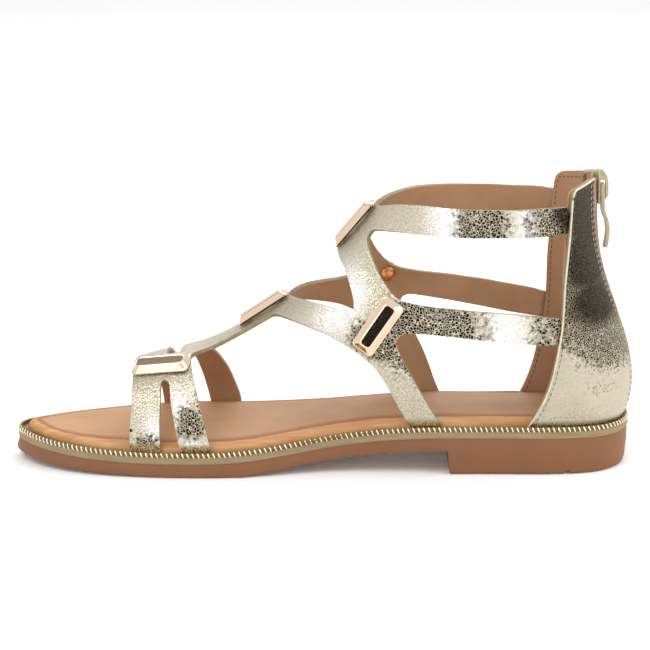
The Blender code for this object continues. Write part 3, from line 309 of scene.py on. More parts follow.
def moved_in(tree, path, inset, lift=0.0):
    """A border's path moved sideways onto the surface, and lifted off it."""
    places = []
    for k, here in enumerate(path):
        here = Vector(here)
        ahead = Vector(path[min(k + 1, len(path) - 1)]) - Vector(path[max(k - 1, 0)])
        normal = tree.find_nearest(here)[1]
        aside = normal.cross(ahead).normalized()
        wanted = [here + aside * inset * sign for sign in (1, -1)]
        found = [tree.find_nearest(place) for place in wanted]
        misses = [(near[0] - place).length for near, place in zip(found, wanted)]
        place, normal = found[0 if misses[0] < misses[1] else 1][:2]
        places.append(place + normal * lift)
    return places


def new_piece(name, points, faces, material):
    mesh = bpy.data.meshes.new(name)
    mesh.from_pydata([tuple(map(float, p)) for p in points], [], faces)
    mesh.validate()
    mesh.materials.append(material)
    piece = bpy.data.objects.new(name, mesh)
    bpy.context.scene.collection.objects.link(piece)
    return piece


def small_ball(rings=6):
    """The points and faces of a ball that is modelled once and then copied."""
    deselect()
    bpy.ops.mesh.primitive_uv_sphere_add(segments=8, ring_count=rings, radius=1.0)
    ball = bpy.context.object
    points = points_of(ball)
    faces = [tuple(face.vertices) for face in ball.data.polygons]
    bpy.data.objects.remove(ball)
    return points, faces


def copies(name, shape, frames, material):
    """One piece of many copies. A frame is a place and three directions with their scales."""
    points, faces = shape
    all_points, all_faces = [], []
    for k, (place, axes) in enumerate(frames):
        all_points.append(points @ np.array(axes, float) + np.array(place, float))
        all_faces += [tuple(i + k * len(points) for i in face) for face in faces]
    piece = new_piece(name, np.concatenate(all_points), all_faces, material)
    pick(piece)
    bpy.ops.object.shade_smooth()
    return piece


def row_frames(places, directions, normals, size):
    """Frames along a row: x runs along the row, z out of the surface."""
    frames = []
    for place, ahead, normal in zip(places, directions, normals):
        ahead, normal = Vector(ahead).normalized(), Vector(normal).normalized()
        side = normal.cross(ahead).normalized()
        normal = ahead.cross(side)
        frames.append((place, (ahead * size[0], side * size[1], normal * size[2])))
    return frames


def tube(name, path, radius, material, sides=8):
    """A round cord along a path, with closed ends."""
    path = [Vector(p) for p in path]
    points, faces = [], []
    last = len(path) - 1
    for k, here in enumerate(path):
        before = path[k - 1] if k else here
        after = path[k + 1] if k < last else here
        ahead = (after - before).normalized()
        side = ahead.cross(UP)
        if side.length < 0.2:
            side = ahead.cross(Vector((0, 1, 0)))
        side.normalize()
        lift = side.cross(ahead)
        for s in range(sides):
            angle = 2 * math.pi * s / sides
            points.append(here + (side * math.cos(angle) + lift * math.sin(angle)) * radius)
    for k in range(last):
        for s in range(sides):
            t = (s + 1) % sides
            a, b = k * sides, (k + 1) * sides
            faces.append((a + s, b + s, b + t, a + t))
    faces.append(tuple(range(sides)))
    faces.append(tuple(range(len(path) * sides - 1, last * sides - 1, -1)))
    piece = new_piece(name, points, faces, material)
    pick(piece)
    bpy.ops.object.mode_set(mode="EDIT")
    bpy.ops.mesh.select_all(action="SELECT")
    bpy.ops.mesh.normals_make_consistent(inside=False)
    bpy.ops.object.mode_set(mode="OBJECT")
    smooth(piece, 50)
    return piece


def settle(piece, repeats):
    """Evens the inside of an open surface and leaves its borders in place."""
    pick(piece)
    mesh = bmesh.new()
    mesh.from_mesh(piece.data)
    for vert in mesh.verts:
        vert.select_set(not vert.is_boundary)
    mesh.select_flush_mode()
    mesh.to_mesh(piece.data)
    mesh.free()
    bpy.ops.object.mode_set(mode="EDIT")
    bpy.ops.mesh.vertices_smooth(factor=0.5, repeat=repeats)
    bpy.ops.object.mode_set(mode="OBJECT")


def crease_sharp_edges(piece, degrees, amount):
    """Keeps the edges that bend more than an angle when the piece is subdivided."""
    mesh = bmesh.new()
    mesh.from_mesh(piece.data)
    layer = mesh.edges.layers.float.new("crease_edge")
    for edge in mesh.edges:
        if len(edge.link_faces) == 2 and edge.calc_face_angle() > math.radians(degrees):
            edge[layer] = amount
    mesh.to_mesh(piece.data)
    mesh.free()


def select_top(piece, upright):
    """Selects the faces that look up by more than a share, and only them."""
    mesh = bmesh.new()
    mesh.from_mesh(piece.data)
    for face in mesh.faces:
        face.select_set(face.normal.z > upright)
    mesh.to_mesh(piece.data)
    mesh.free()


def close_gap(piece, node, way, reach=0.0006):
    """Moves the points that face a node along a direction until they nearly touch it."""
    tree = surface_tree(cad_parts[node])
    for vert in piece.data.vertices:
        place = tree.ray_cast(vert.co, way, reach)[0]
        if place is not None:
            vert.co = place - way * TOUCH


def long_loops(piece, longer_than):
    """Closed loops of the edges that are longer than a length."""
    mesh = bmesh.new()
    mesh.from_mesh(piece.data)
    chosen = {edge for edge in mesh.edges if edge.calc_length() > longer_than}
    found = []
    while chosen:
        edge = min(chosen, key=lambda e: e.index)
        chosen.discard(edge)
        first, here = edge.verts
        loop = [first.co.copy()]
        while here != first:
            loop.append(here.co.copy())
            ahead = [e for e in here.link_edges if e in chosen]
            if not ahead:
                break
            ahead.sort(key=lambda e: e.index)
            chosen.discard(ahead[0])
            here = ahead[0].other_vert(here)
        found.append(loop)
    mesh.free()
    return found


def smoothed_loop(loop, parts=6):
    """More points on a closed loop, on a smooth curve through it."""
    path = np.array([tuple(p) for p in loop])
    before, after, beyond = (np.roll(path, shift, axis=0) for shift in (1, -1, -2))
    points = []
    for t in np.arange(parts) / parts:
        points.append(0.5 * (2 * path + (after - before) * t
                             + (2 * before - 5 * path + 4 * after - beyond) * t * t
                             + (3 * path - before - 3 * after + beyond) * t**3))
    return np.stack(points, 1).reshape(-1, 3)


# Edges of the trim that run round the sole are longer, and their loops have more steps
CROSS_EDGE = 0.0021
FEWEST_STEPS = 60


def welt_outline():
    """The outer upper edge of the welt's trim, as a smooth closed line."""
    ring = copy_of("welt_trim", "outline_source")
    loops = [loop for loop in long_loops(ring, CROSS_EDGE) if len(loop) > FEWEST_STEPS]

    def length_then_height(loop):
        across = [place.x for place in loop]
        return (max(across) - min(across)) * 1000 + sum(place.z for place in loop) / len(loop)

    widest = max(loops, key=length_then_height)
    bpy.data.objects.remove(ring)
    return smoothed_loop(widest)


# Where rays are cast down on the welt, and its height where a ray misses
WELT_STATIONS = (-0.215, 0.033, 60)
WELT_MIDDLE_LINE = 0.003
RAY_START = 0.1
WELT_TOP_FALLBACK = 0.0125


def welt_top():
    """Stations from toe to heel and the height of the welt's top at each."""
    tree = surface_tree(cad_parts["welt"])
    stations = np.linspace(*WELT_STATIONS)
    tops = []
    for station in stations:
        hit = tree.ray_cast(Vector((station, WELT_MIDDLE_LINE, RAY_START)), DOWN)[0]
        tops.append(hit.z if hit else WELT_TOP_FALLBACK)
    return stations, tops


WELT_OUTLINE = welt_outline()
WELT_TOP = welt_top()


# Finishes

def tint(red, green, blue):
    """A colour given in screen values from 0 to 255."""
    linear = []
    for value in (red, green, blue):
        share = value / 255
        linear.append(share / 12.92 if share <= 0.04045 else ((share + 0.055) / 1.055) ** 2.4)
    return (*linear, 1.0)


# Places of the colour sockets in a Mix node
MIX_FIRST = 6
MIX_SECOND = 7
MIX_RESULT = 2


class Nodes:
    """Short ways to add nodes to a tree."""

    def __init__(self, tree):
        self.tree = tree

    def add(self, kind, **settings):
        node = self.tree.nodes.new(kind)
        for key, value in settings.items():
            setattr(node, key, value)
        return node

    def put(self, socket, value):
        """Joins an output to an input, or sets the input's number."""
        if isinstance(value, (int, float, tuple)):
            socket.default_value = value
        else:
            self.tree.links.new(value, socket)

    def mix(self, share, first, second):
        node = self.add("ShaderNodeMix", data_type="RGBA")
        self.put(node.inputs[0], share)
        self.put(node.inputs[MIX_FIRST], first)
        self.put(node.inputs[MIX_SECOND], second)
        return node.outputs[MIX_RESULT]


class Finish(Nodes):
    """A material, with the textures that its colour, roughness and relief come from."""

    def __init__(self, name, **constants):
        self.material = bpy.data.materials.new(name)
        self.material.use_nodes = True
        super().__init__(self.material.node_tree)
        self.shader = self.tree.nodes["Principled BSDF"]
        for socket, value in constants.items():
            self.shader.inputs[socket].default_value = value
        self.place = self.add("ShaderNodeTexCoord").outputs["Object"]

    def give(self, name, value):
        self.put(self.shader.inputs[name], value)

    def stretched(self, scale):
        node = self.add("ShaderNodeMapping")
        node.inputs["Scale"].default_value = scale
        self.put(node.inputs["Vector"], self.place)
        return node.outputs["Vector"]

    def noise(self, scale, detail=3.0, roughness=0.5, where=None):
        node = self.add("ShaderNodeTexNoise")
        node.inputs["Scale"].default_value = scale
        node.inputs["Detail"].default_value = detail
        node.inputs["Roughness"].default_value = roughness
        self.put(node.inputs["Vector"], where or self.place)
        return node.outputs["Fac"]

    def voronoi(self, scale, feature="F1", output="Distance", where=None):
        node = self.add("ShaderNodeTexVoronoi", feature=feature)
        node.inputs["Scale"].default_value = scale
        self.put(node.inputs["Vector"], where or self.place)
        return node.outputs[output]

    def vectors(self, operation, first, second):
        node = self.add("ShaderNodeVectorMath", operation=operation)
        self.put(node.inputs[0], first)
        self.put(node.inputs[1], second)
        return node.outputs["Vector"]

    def wobbled(self, scale, amount):
        """Object coordinates moved about by a noise, so that cells get uneven sides."""
        noise = self.add("ShaderNodeTexNoise")
        noise.inputs["Scale"].default_value = scale
        self.put(noise.inputs["Vector"], self.place)
        centred = self.vectors("SUBTRACT", noise.outputs["Color"], (0.5, 0.5, 0.5))
        scaled = self.vectors("MULTIPLY", centred, (amount, amount, amount))
        return self.vectors("ADD", self.place, scaled)

    def ramp(self, value, *stops):
        """Numbers or colours at positions from 0 to 1."""
        node = self.add("ShaderNodeValToRGB")
        colours = node.color_ramp.elements
        while len(colours) < len(stops):
            colours.new(0.5)
        for element, (position, colour) in zip(colours, stops):
            element.position = position
            element.color = colour if isinstance(colour, tuple) else (colour, colour, colour, 1)
        self.put(node.inputs["Fac"], value)
        return node.outputs["Color"]

    def maths(self, operation, first, second, clamp=False):
        node = self.add("ShaderNodeMath", operation=operation, use_clamp=clamp)
        self.put(node.inputs[0], first)
        self.put(node.inputs[1], second)
        return node.outputs["Value"]

    def plus(self, first, second):
        return self.maths("ADD", first, second)

    def minus(self, first, second, clamp=False):
        return self.maths("SUBTRACT", first, second, clamp)

    def times(self, first, second, clamp=False):
        return self.maths("MULTIPLY", first, second, clamp)

    def swing(self, noise, amount):
        """A noise moved to swing about 0, times an amount."""
        return self.times(self.minus(noise, 0.5), amount)

    def red_of(self, colour):
        node = self.add("ShaderNodeSeparateColor")
        self.put(node.inputs["Color"], colour)
        return node.outputs["Red"]

    def attribute(self, name):
        return self.add("ShaderNodeAttribute", attribute_name=name).outputs["Fac"]

    def bump(self, height, strength, distance):
        node = self.add("ShaderNodeBump")
        node.inputs["Strength"].default_value = strength
        node.inputs["Distance"].default_value = distance
        self.put(node.inputs["Height"], height)
        return node.outputs["Normal"]


def crackled_leather(name, cells):
    """Champagne foil on leather: smooth cells between rough cracks.

    A cell turns dark where the painted dark reflection passes its own threshold, and the cracks of
    these painted dark places stay pale, except where the painted reflection is near 1 or over it.
    Painted highlights whiten the foil and make it give off a little light.
    """
    finish = Finish(name, Metallic=0.95)
    where = finish.wobbled(1100, 0.0008)
    edge = finish.voronoi(cells, "DISTANCE_TO_EDGE", where=where)
    cell = finish.red_of(finish.voronoi(cells, "F1", "Color", where=where))
    thin_crack = finish.ramp(edge, (0.0, 1.0), (0.04, 0.7), (0.09, 0.0))
    wide_crack = finish.ramp(edge, (0.0, 1.0), (0.05, 0.9), (0.115, 0.0))
    patchy = finish.noise(70, 4.0, 0.6)
    grain = finish.noise(1700, 3.0, 0.6)
    sheen = finish.attribute("painted_dark_reflection")
    dark = finish.maths("MINIMUM", sheen, 1.0)
    bright = finish.attribute("painted_highlight")

    gold = finish.mix(patchy, tint(203, 195, 172), tint(223, 215, 196))
    # Painted highlight: the foil is whitened where the highlight is strong
    gold = finish.mix(bright, gold, tint(255, 255, 255))
    # Painted dark reflection: cells turn near black one by one where it is strong
    darkness = finish.plus(finish.times(dark, 1.75), finish.swing(patchy, 0.15))
    threshold = finish.plus(finish.times(cell, 0.6), 0.22)
    turned = finish.times(finish.minus(darkness, threshold), 2.2, clamp=True)
    inside_cell = finish.mix(turned, gold, tint(26, 22, 17))

    # The cracks in the painted dark reflection stay pale, and turn darker where it is strongest
    deep = finish.times(finish.minus(sheen, 0.95), 3.0, clamp=True)
    line_colour = finish.mix(deep, tint(222, 212, 186), tint(98, 89, 70))
    shown = finish.times(wide_crack, finish.times(dark, 1.6, clamp=True))
    colour = finish.mix(shown, inside_cell, line_colour)
    light_part = finish.minus(1.0, finish.times(dark, 2.5), clamp=True)
    etched = finish.times(finish.times(thin_crack, 0.6), light_part)
    colour = finish.mix(etched, colour, tint(168, 158, 132))

    spots = finish.noise(1300, 4.0, 0.7)
    speckle = finish.ramp(spots, (0.38, tint(84, 64, 30)), (0.62, tint(200, 174, 112)))
    # The foil at the foot of the straps and counter is speckled darker gold
    finish.give("Base Color", finish.mix(finish.attribute("speckled_foot"), colour, speckle))
    rough = finish.plus(finish.times(thin_crack, 0.22), 0.24)
    finish.give("Roughness", finish.plus(rough, finish.times(grain, 0.12)))
    # Painted highlight: the whitened foil gives off a little light, though it is no lamp
    painted_glow = finish.times(bright, finish.minus(1.0, thin_crack))
    finish.give("Emission Color", (1.0, 1.0, 0.98, 1.0))
    finish.give("Emission Strength", finish.times(painted_glow, 0.12))
    height = finish.plus(finish.times(thin_crack, -0.6), finish.times(grain, 0.8))
    finish.give("Normal", finish.bump(height, 0.85, 0.00030))
    return finish.material


def edge_paint(name, deep, pale, metallic=0.15):
    finish = Finish(name, Metallic=metallic)
    worn = finish.noise(500, 4.0, 0.6)
    finish.give("Base Color", finish.ramp(worn, (0.3, deep), (0.7, pale)))
    finish.give("Roughness", finish.ramp(worn, (0.3, 0.42), (0.7, 0.6)))
    finish.give("Normal", finish.bump(finish.noise(1800, 2.0), 0.3, 0.0001))
    return finish.material


def soft_leather(name, pale, deep):
    """Smooth lining leather with pores and soft stains."""
    finish = Finish(name)
    stain = finish.noise(35, 4.0, 0.6)
    pores = finish.voronoi(1700)
    finish.give("Base Color", finish.mix(finish.ramp(stain, (0.3, 0.0), (0.7, 1.0)), pale, deep))
    finish.give("Roughness", finish.ramp(stain, (0.3, 0.62), (0.7, 0.74)))
    finish.give("Normal", finish.bump(pores, 0.22, 0.00012))
    return finish.material


def footbed_leather():
    """The insole: tan on top, a burnished line and an orange raw edge under it."""
    finish = Finish("footbed")
    stain = finish.noise(28, 5.0, 0.6)
    speck = finish.noise(900, 5.0, 0.75)
    drawn = finish.noise(260, 4.0, 0.7, where=finish.stretched((0.3, 1.0, 1.0)))
    parts = finish.add("ShaderNodeSeparateXYZ")
    finish.put(parts.inputs["Vector"], finish.place)
    toward_heel = finish.times(finish.plus(parts.outputs["X"], 0.19), 9.0, clamp=True)
    pale = finish.mix(toward_heel, tint(199, 154, 108), tint(184, 143, 104))
    deep = finish.mix(toward_heel, tint(188, 141, 96), tint(172, 131, 94))
    top = finish.mix(finish.ramp(stain, (0.35, 0.0), (0.7, 1.0)), pale, deep)
    streak = finish.noise(420, 3.0, 0.6, where=finish.stretched((0.12, 1.0, 1.0)))
    edge = finish.ramp(streak, (0.35, tint(206, 156, 100)), (0.65, tint(186, 131, 76)))
    burnt = finish.mix(speck, tint(130, 64, 24), tint(178, 110, 58))
    ragged = finish.plus(finish.attribute("from_edge"), finish.swing(drawn, 0.18))
    ragged = finish.plus(ragged, finish.swing(speck, 0.16))
    line = finish.ramp(ragged, (0.28, 0.0), (0.33, 1.0), (0.44, 0.75), (0.58, 0.0))
    side = finish.ramp(ragged, (0.30, 1.0), (0.38, 0.0))
    colour = finish.mix(line, finish.mix(side, top, edge), burnt)
    finish.give("Base Color", colour)
    finish.give("Roughness", finish.ramp(stain, (0.3, 0.5), (0.7, 0.64)))
    finish.give("Normal", finish.bump(finish.noise(1200, 3.0), 0.2, 0.0001))
    return finish.material


def brown_rubber():
    finish = Finish("rubber_sole")
    cloud = finish.noise(40, 4.0, 0.6)
    colour = finish.ramp(cloud, (0.3, tint(122, 78, 44)), (0.7, tint(134, 86, 50)))
    finish.give("Base Color", colour)
    finish.give("Roughness", finish.ramp(cloud, (0.3, 0.46), (0.7, 0.58)))
    finish.give("Normal", finish.bump(finish.noise(1400, 3.0), 0.2, 0.0001))
    return finish.material


def welt_board():
    finish = Finish("welt_edge")
    fibre = finish.noise(300, 5.0, 0.65, where=finish.stretched((0.25, 0.25, 3.0)))
    colour = finish.ramp(fibre, (0.3, tint(132, 112, 80)), (0.7, tint(158, 137, 102)))
    finish.give("Base Color", colour)
    finish.give("Roughness", finish.ramp(fibre, (0.3, 0.5), (0.7, 0.66)))
    finish.give("Normal", finish.bump(fibre, 0.35, 0.00015))
    return finish.material


def polished_metal(name, colour, roughness, scratches):
    finish = Finish(name, Metallic=1.0)
    haze = finish.noise(220, 4.0, 0.6)
    darker = tuple(part * 0.93 for part in colour[:3]) + (1,)
    finish.give("Base Color", finish.mix(haze, colour, darker))
    finish.give("Roughness", finish.ramp(haze, (0.3, roughness), (0.7, roughness * 1.7)))
    lines = finish.noise(500, 2.0, where=finish.stretched((1.0, 1.0, 6.0)))
    finish.give("Normal", finish.bump(lines, scratches, 0.0001))
    return finish.material


def painted_metal():
    finish = Finish("painted_zip", Metallic=0.35)
    wear = finish.noise(350, 4.0, 0.6)
    colour = finish.ramp(wear, (0.35, tint(172, 158, 128)), (0.7, tint(192, 178, 148)))
    finish.give("Base Color", colour)
    finish.give("Roughness", finish.ramp(wear, (0.3, 0.34), (0.7, 0.46)))
    finish.give("Normal", finish.bump(finish.noise(1600, 2.0), 0.15, 0.00008))
    return finish.material


def woven_tape():
    finish = Finish("zip_tape")
    weave = finish.add("ShaderNodeTexWave", wave_type="BANDS", bands_direction="Z")
    weave.inputs["Scale"].default_value = 380
    weave.inputs["Distortion"].default_value = 1.5
    finish.put(weave.inputs["Vector"], finish.place)
    ribs = weave.outputs["Fac"]
    fibre = finish.noise(1500, 3.0)
    colour = finish.mix(ribs, tint(150, 118, 98), tint(190, 160, 138))
    finish.give("Base Color", finish.mix(fibre, colour, tint(172, 142, 120)))
    finish.give("Roughness", finish.ramp(fibre, (0.3, 0.8), (0.7, 0.95)))
    finish.give("Normal", finish.bump(ribs, 0.5, 0.0002))
    return finish.material


def thread(name, pale, deep):
    finish = Finish(name)
    twist = finish.noise(2500, 2.0)
    finish.give("Base Color", finish.mix(twist, pale, deep))
    finish.give("Roughness", finish.ramp(twist, (0.3, 0.55), (0.7, 0.7)))
    return finish.material


LEATHER = crackled_leather("metallic_leather", 880)
FINE_LEATHER = crackled_leather("counter_leather", 1300)
EDGE = edge_paint("edge_paint", tint(128, 112, 82), tint(160, 144, 110))
FOLD = edge_paint("folded_edge", tint(214, 203, 178), tint(236, 228, 208), 0.75)
LINING = soft_leather("lining_leather", tint(176, 136, 100), tint(158, 118, 84))
FOOTBED = footbed_leather()
RUBBER = brown_rubber()
WELT = welt_board()
# Painted shade between the beads: the dark brown of the strip under them
BEAD_GAP_SHADE = edge_paint("bead_gap_shade", tint(92, 74, 44), tint(118, 98, 62))
GOLD = polished_metal("gold_trim", tint(250, 234, 198), 0.2, 0.06)
POLISHED = polished_metal("polished_gold", tint(244, 218, 190), 0.05, 0.0)
# Painted dark reflection for the near walls of the ankle and instep plates
SHADED_METAL = polished_metal("shaded_metal", tint(40, 32, 26), 0.2, 0.02)
COPPER = polished_metal("copper", tint(222, 150, 98), 0.22, 0.03)
PAINTED = painted_metal()
TAPE = woven_tape()
PALE_THREAD = thread("pale_thread", tint(206, 192, 162), tint(176, 160, 126))
BROWN_THREAD = thread("brown_thread", tint(140, 122, 94), tint(108, 92, 68))
DARK_THREAD = thread("dark_thread", tint(112, 78, 56), tint(86, 58, 40))


# Painted dark reflections on the foil: x, z, reach along x, reach along z, strength, side
PAINTED_DARK_REFLECTIONS = (
    (-0.027, 0.106, 0.012, 0.030, 0.85, INNER),
    (-0.018, 0.106, 0.006, 0.030, 0.45, INNER),
    (0.007, 0.106, 0.009, 0.030, 0.85, INNER),
    (-0.054, 0.062, 0.013, 0.020, 0.95, INNER),
    (-0.038, 0.061, 0.012, 0.020, 0.85, INNER),
    (-0.064, 0.055, 0.010, 0.007, 0.85, INNER),
    (-0.076, 0.060, 0.006, 0.008, 0.70, INNER),
    (-0.026, 0.060, 0.007, 0.020, 0.45, INNER),
    (-0.001, 0.060, 0.009, 0.020, 0.50, INNER),
    (-0.146, 0.023, 0.007, 0.008, 0.85, INNER),
    (-0.142, 0.033, 0.003, 0.009, 0.60, INNER),
    (-0.164, 0.0150, 0.006, 0.004, 0.70, INNER),
    (-0.171, 0.019, 0.003, 0.003, 0.45, INNER),
    (0.016, 0.112, 0.022, 0.024, 1.60, INNER),
    (0.018, 0.090, 0.021, 0.024, 1.50, INNER),
    (0.022, 0.072, 0.024, 0.019, 1.40, INNER),
    (0.029, 0.057, 0.020, 0.014, 0.90, INNER),
    (0.020, 0.052, 0.020, 0.008, 0.35, INNER),
    (0.024, 0.036, 0.013, 0.005, 0.30, INNER),
    (-0.040, 0.104, 0.018, 0.030, 0.80, OUTER),
    (-0.045, 0.060, 0.020, 0.020, 0.85, OUTER),
    (-0.150, 0.025, 0.008, 0.008, 0.70, OUTER),
    (0.017, 0.100, 0.020, 0.026, 1.50, OUTER),
    (0.022, 0.070, 0.018, 0.016, 0.90, OUTER),
)

# Painted highlights on the foil, in the same columns
PAINTED_HIGHLIGHTS = (
    (-0.041, 0.106, 0.007, 0.030, 1.00, INNER),
    (-0.0075, 0.106, 0.006, 0.030, 1.00, INNER),
    (-0.016, 0.060, 0.009, 0.020, 1.00, INNER),
    (-0.080, 0.077, 0.006, 0.010, 0.95, INNER),
    (-0.086, 0.067, 0.008, 0.006, 0.90, INNER),
    (-0.161, 0.020, 0.004, 0.006, 0.90, INNER),
    (-0.151, 0.029, 0.004, 0.006, 0.80, INNER),
    (-0.145, 0.0145, 0.006, 0.002, 0.70, INNER),
    (-0.015, 0.106, 0.008, 0.020, 0.80, OUTER),
    (-0.020, 0.060, 0.008, 0.014, 0.80, OUTER),
    (-0.082, 0.075, 0.007, 0.010, 0.80, OUTER),
)


def patch_strength(points, patches):
    """The strongest patch at each point."""
    strongest = np.zeros(len(points))
    for x, z, reach_x, reach_z, strength, side in patches:
        far = ((points[:, 0] - x) / reach_x) ** 2 + ((points[:, 2] - z) / reach_z) ** 2
        strongest = np.maximum(strongest, strength * np.exp(-far**1.1) * (points[:, 1] * side > 0))
    return strongest


def over_welt(points):
    """Heights of points over the welt's top."""
    return points[:, 2] - np.interp(points[:, 0], *WELT_TOP)


def give_shades(piece, speckle_height):
    """Stores the painted dark reflections, the painted highlights, and the speckled darker gold at
    the foot.
    """
    points = points_of(piece)
    store(piece, "painted_dark_reflection", patch_strength(points, PAINTED_DARK_REFLECTIONS))
    store(piece, "painted_highlight", patch_strength(points, PAINTED_HIGHLIGHTS))
    store(piece, "speckled_foot", np.clip((speckle_height - over_welt(points)) / SPECKLE_FADE, 0, 1))


# Soft creases: x, z of both ends, half width, depth, side. A depth under 0 is a ridge.
CREASES = (
    (-0.074, 0.088, -0.068, 0.076, 0.0030, 0.00035, INNER),
    (-0.060, 0.050, -0.052, 0.044, 0.0030, 0.00030, INNER),
    (-0.030, 0.101, -0.029, 0.112, 0.0040, 0.00025, INNER),
    (-0.012, 0.055, -0.011, 0.067, 0.0040, 0.00022, INNER),
    (-0.160, 0.026, -0.150, 0.024, 0.0030, 0.00025, INNER),
    (-0.125, 0.061, -0.117, 0.064, 0.0030, 0.00025, INNER),
    (0.012, 0.045, 0.034, 0.050, 0.0040, 0.00035, INNER),
    (0.010, 0.078, 0.030, 0.074, 0.0040, 0.00030, INNER),
    (0.014, 0.060, 0.034, 0.058, 0.0035, -0.00025, INNER),
    (0.012, 0.045, 0.034, 0.050, 0.0040, 0.00035, OUTER),
    (0.010, 0.080, 0.030, 0.076, 0.0040, 0.00030, OUTER),
)


def crease(piece):
    """Presses the soft creases into a surface."""
    mesh = bmesh.new()
    mesh.from_mesh(piece.data)
    mesh.normal_update()
    for vert in mesh.verts:
        depth = 0.0
        for x0, z0, x1, z1, width, amount, side in CREASES:
            if vert.co.y * side < 0:
                continue
            along = Vector((x1 - x0, z1 - z0))
            here = Vector((vert.co.x - x0, vert.co.z - z0))
            share = min(1.0, max(0.0, here.dot(along) / along.length_squared))
            away = (here - along * share).length / width
            depth += amount * math.exp(-away * away)
        vert.co -= vert.normal * depth
    mesh.to_mesh(piece.data)
    mesh.free()


def leather_wall(piece, foil, wall):
    """Thickens an open surface: foil outside, lining inside and painted, rounded edges."""
    for material in (foil, EDGE, LINING):
        piece.data.materials.append(material)
    thicken(piece, wall, material_offset=2, material_offset_rim=1)
    bevel(piece, EDGE_ROUNDING, 50)
    smooth(piece, 60)


def make_straps():
    piece = copy_of("strap_cage", "straps", quads=False)
    keep_one_face(piece)
    subdivide(piece, 2)
    settle(piece, 6)
    crease(piece)
    leather_wall(piece, LEATHER, STRAP_WALL)
    for node in ("counter_inner", "counter_outer", "counter_lining_inner", "counter_lining_outer"):
        close_gap(piece, node, TOWARD_HEEL, STRAP_TO_COUNTER)
    give_shades(piece, STRAP_SPECKLE_HEIGHT)
    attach(piece, "shoe")
    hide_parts("strap_cage")


def counter_path(loop):
    """The counter's border from the foot of its front edge round the corner to the zip."""
    start = min(range(len(loop)), key=lambda k: loop[k].x + loop[k].z)
    loop = loop[start:] + loop[:start]
    end = max(range(len(loop)), key=lambda k: loop[k].z)
    path = loop[:end + 1]
    if sum(p.x for p in path) / len(path) > sum(p.x for p in loop[end:]) / max(1, len(loop) - end):
        path = [loop[0]] + loop[end:][::-1]
    return path


def zip_path(loop):
    """The border beside the zip, from the top down."""
    start = max(range(len(loop)), key=lambda k: loop[k].z)
    loop = loop[start:] + loop[:start]
    path = [loop[0]]
    steps = loop[1:] if loop[6].x > loop[-6].x else loop[:0:-1]
    for point in steps:
        if point.z < ZIP_ROW_FOOT:
            break
        path.append(point)
    return path


def stitch_row(name, tree, path, inset, material):
    """A row of stitches beside a border."""
    even, ahead = evenly(moved_in(tree, path, inset, STITCH_LIFT), STITCH_PITCH)
    normals = [tree.find_nearest(Vector(place))[1] for place in even]
    frames = row_frames(even, ahead, normals, (STITCH_LENGTH / 2, STITCH_RADIUS, STITCH_RADIUS))
    return copies(name, small_ball(), frames, material)


def make_counter_trim(word, tree, border):
    """The folded edge and the rows of stitches on one half of the counter."""
    path = counter_path(border)
    beside_zip = zip_path(border)
    fold = evenly(moved_in(tree, path, FOLD_INSET), FOLD_STEP)[0]
    roll = tube(f"counter_fold_{word}", fold, FOLD_RADIUS, FOLD)
    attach(roll, "shoe")
    rows = (
        ("edge", path, EDGE_ROW_INSET, BROWN_THREAD),
        ("zip_a", beside_zip, ZIP_ROW_INSETS[0], PALE_THREAD),
        ("zip_b", beside_zip, ZIP_ROW_INSETS[1], PALE_THREAD),
    )
    for label, line, inset, material in rows:
        row = stitch_row(f"stitch_{label}_{word}", tree, line, inset, material)
        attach(row, "shoe")


def make_counter(word):
    piece = copy_of(f"counter_{word}", f"counter_shell_{word}")
    keep_one_face(piece)
    subdivide(piece, 3)
    border = rims(piece)[0]
    crease(piece)
    tree = surface_tree(piece)
    leather_wall(piece, FINE_LEATHER, SHELL_WALL)
    give_shades(piece, COUNTER_SPECKLE_HEIGHT)
    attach(piece, "shoe")
    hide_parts(f"counter_{word}")
    make_counter_trim(word, tree, border)

    lining = copy_of(f"counter_lining_{word}", f"counter_inside_{word}")
    keep_one_face(lining, inner_face=True)
    subdivide(lining, 3)
    path = counter_path(rims(lining)[0])
    tree = surface_tree(lining)
    lining.data.materials.append(LINING)
    thicken(lining, LINING_WALL)
    smooth(lining, 60)
    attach(lining, "shoe")
    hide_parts(f"counter_lining_{word}")
    row = stitch_row(f"stitch_lining_{word}", tree, path, EDGE_ROW_INSET, DARK_THREAD)
    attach(row, "shoe")


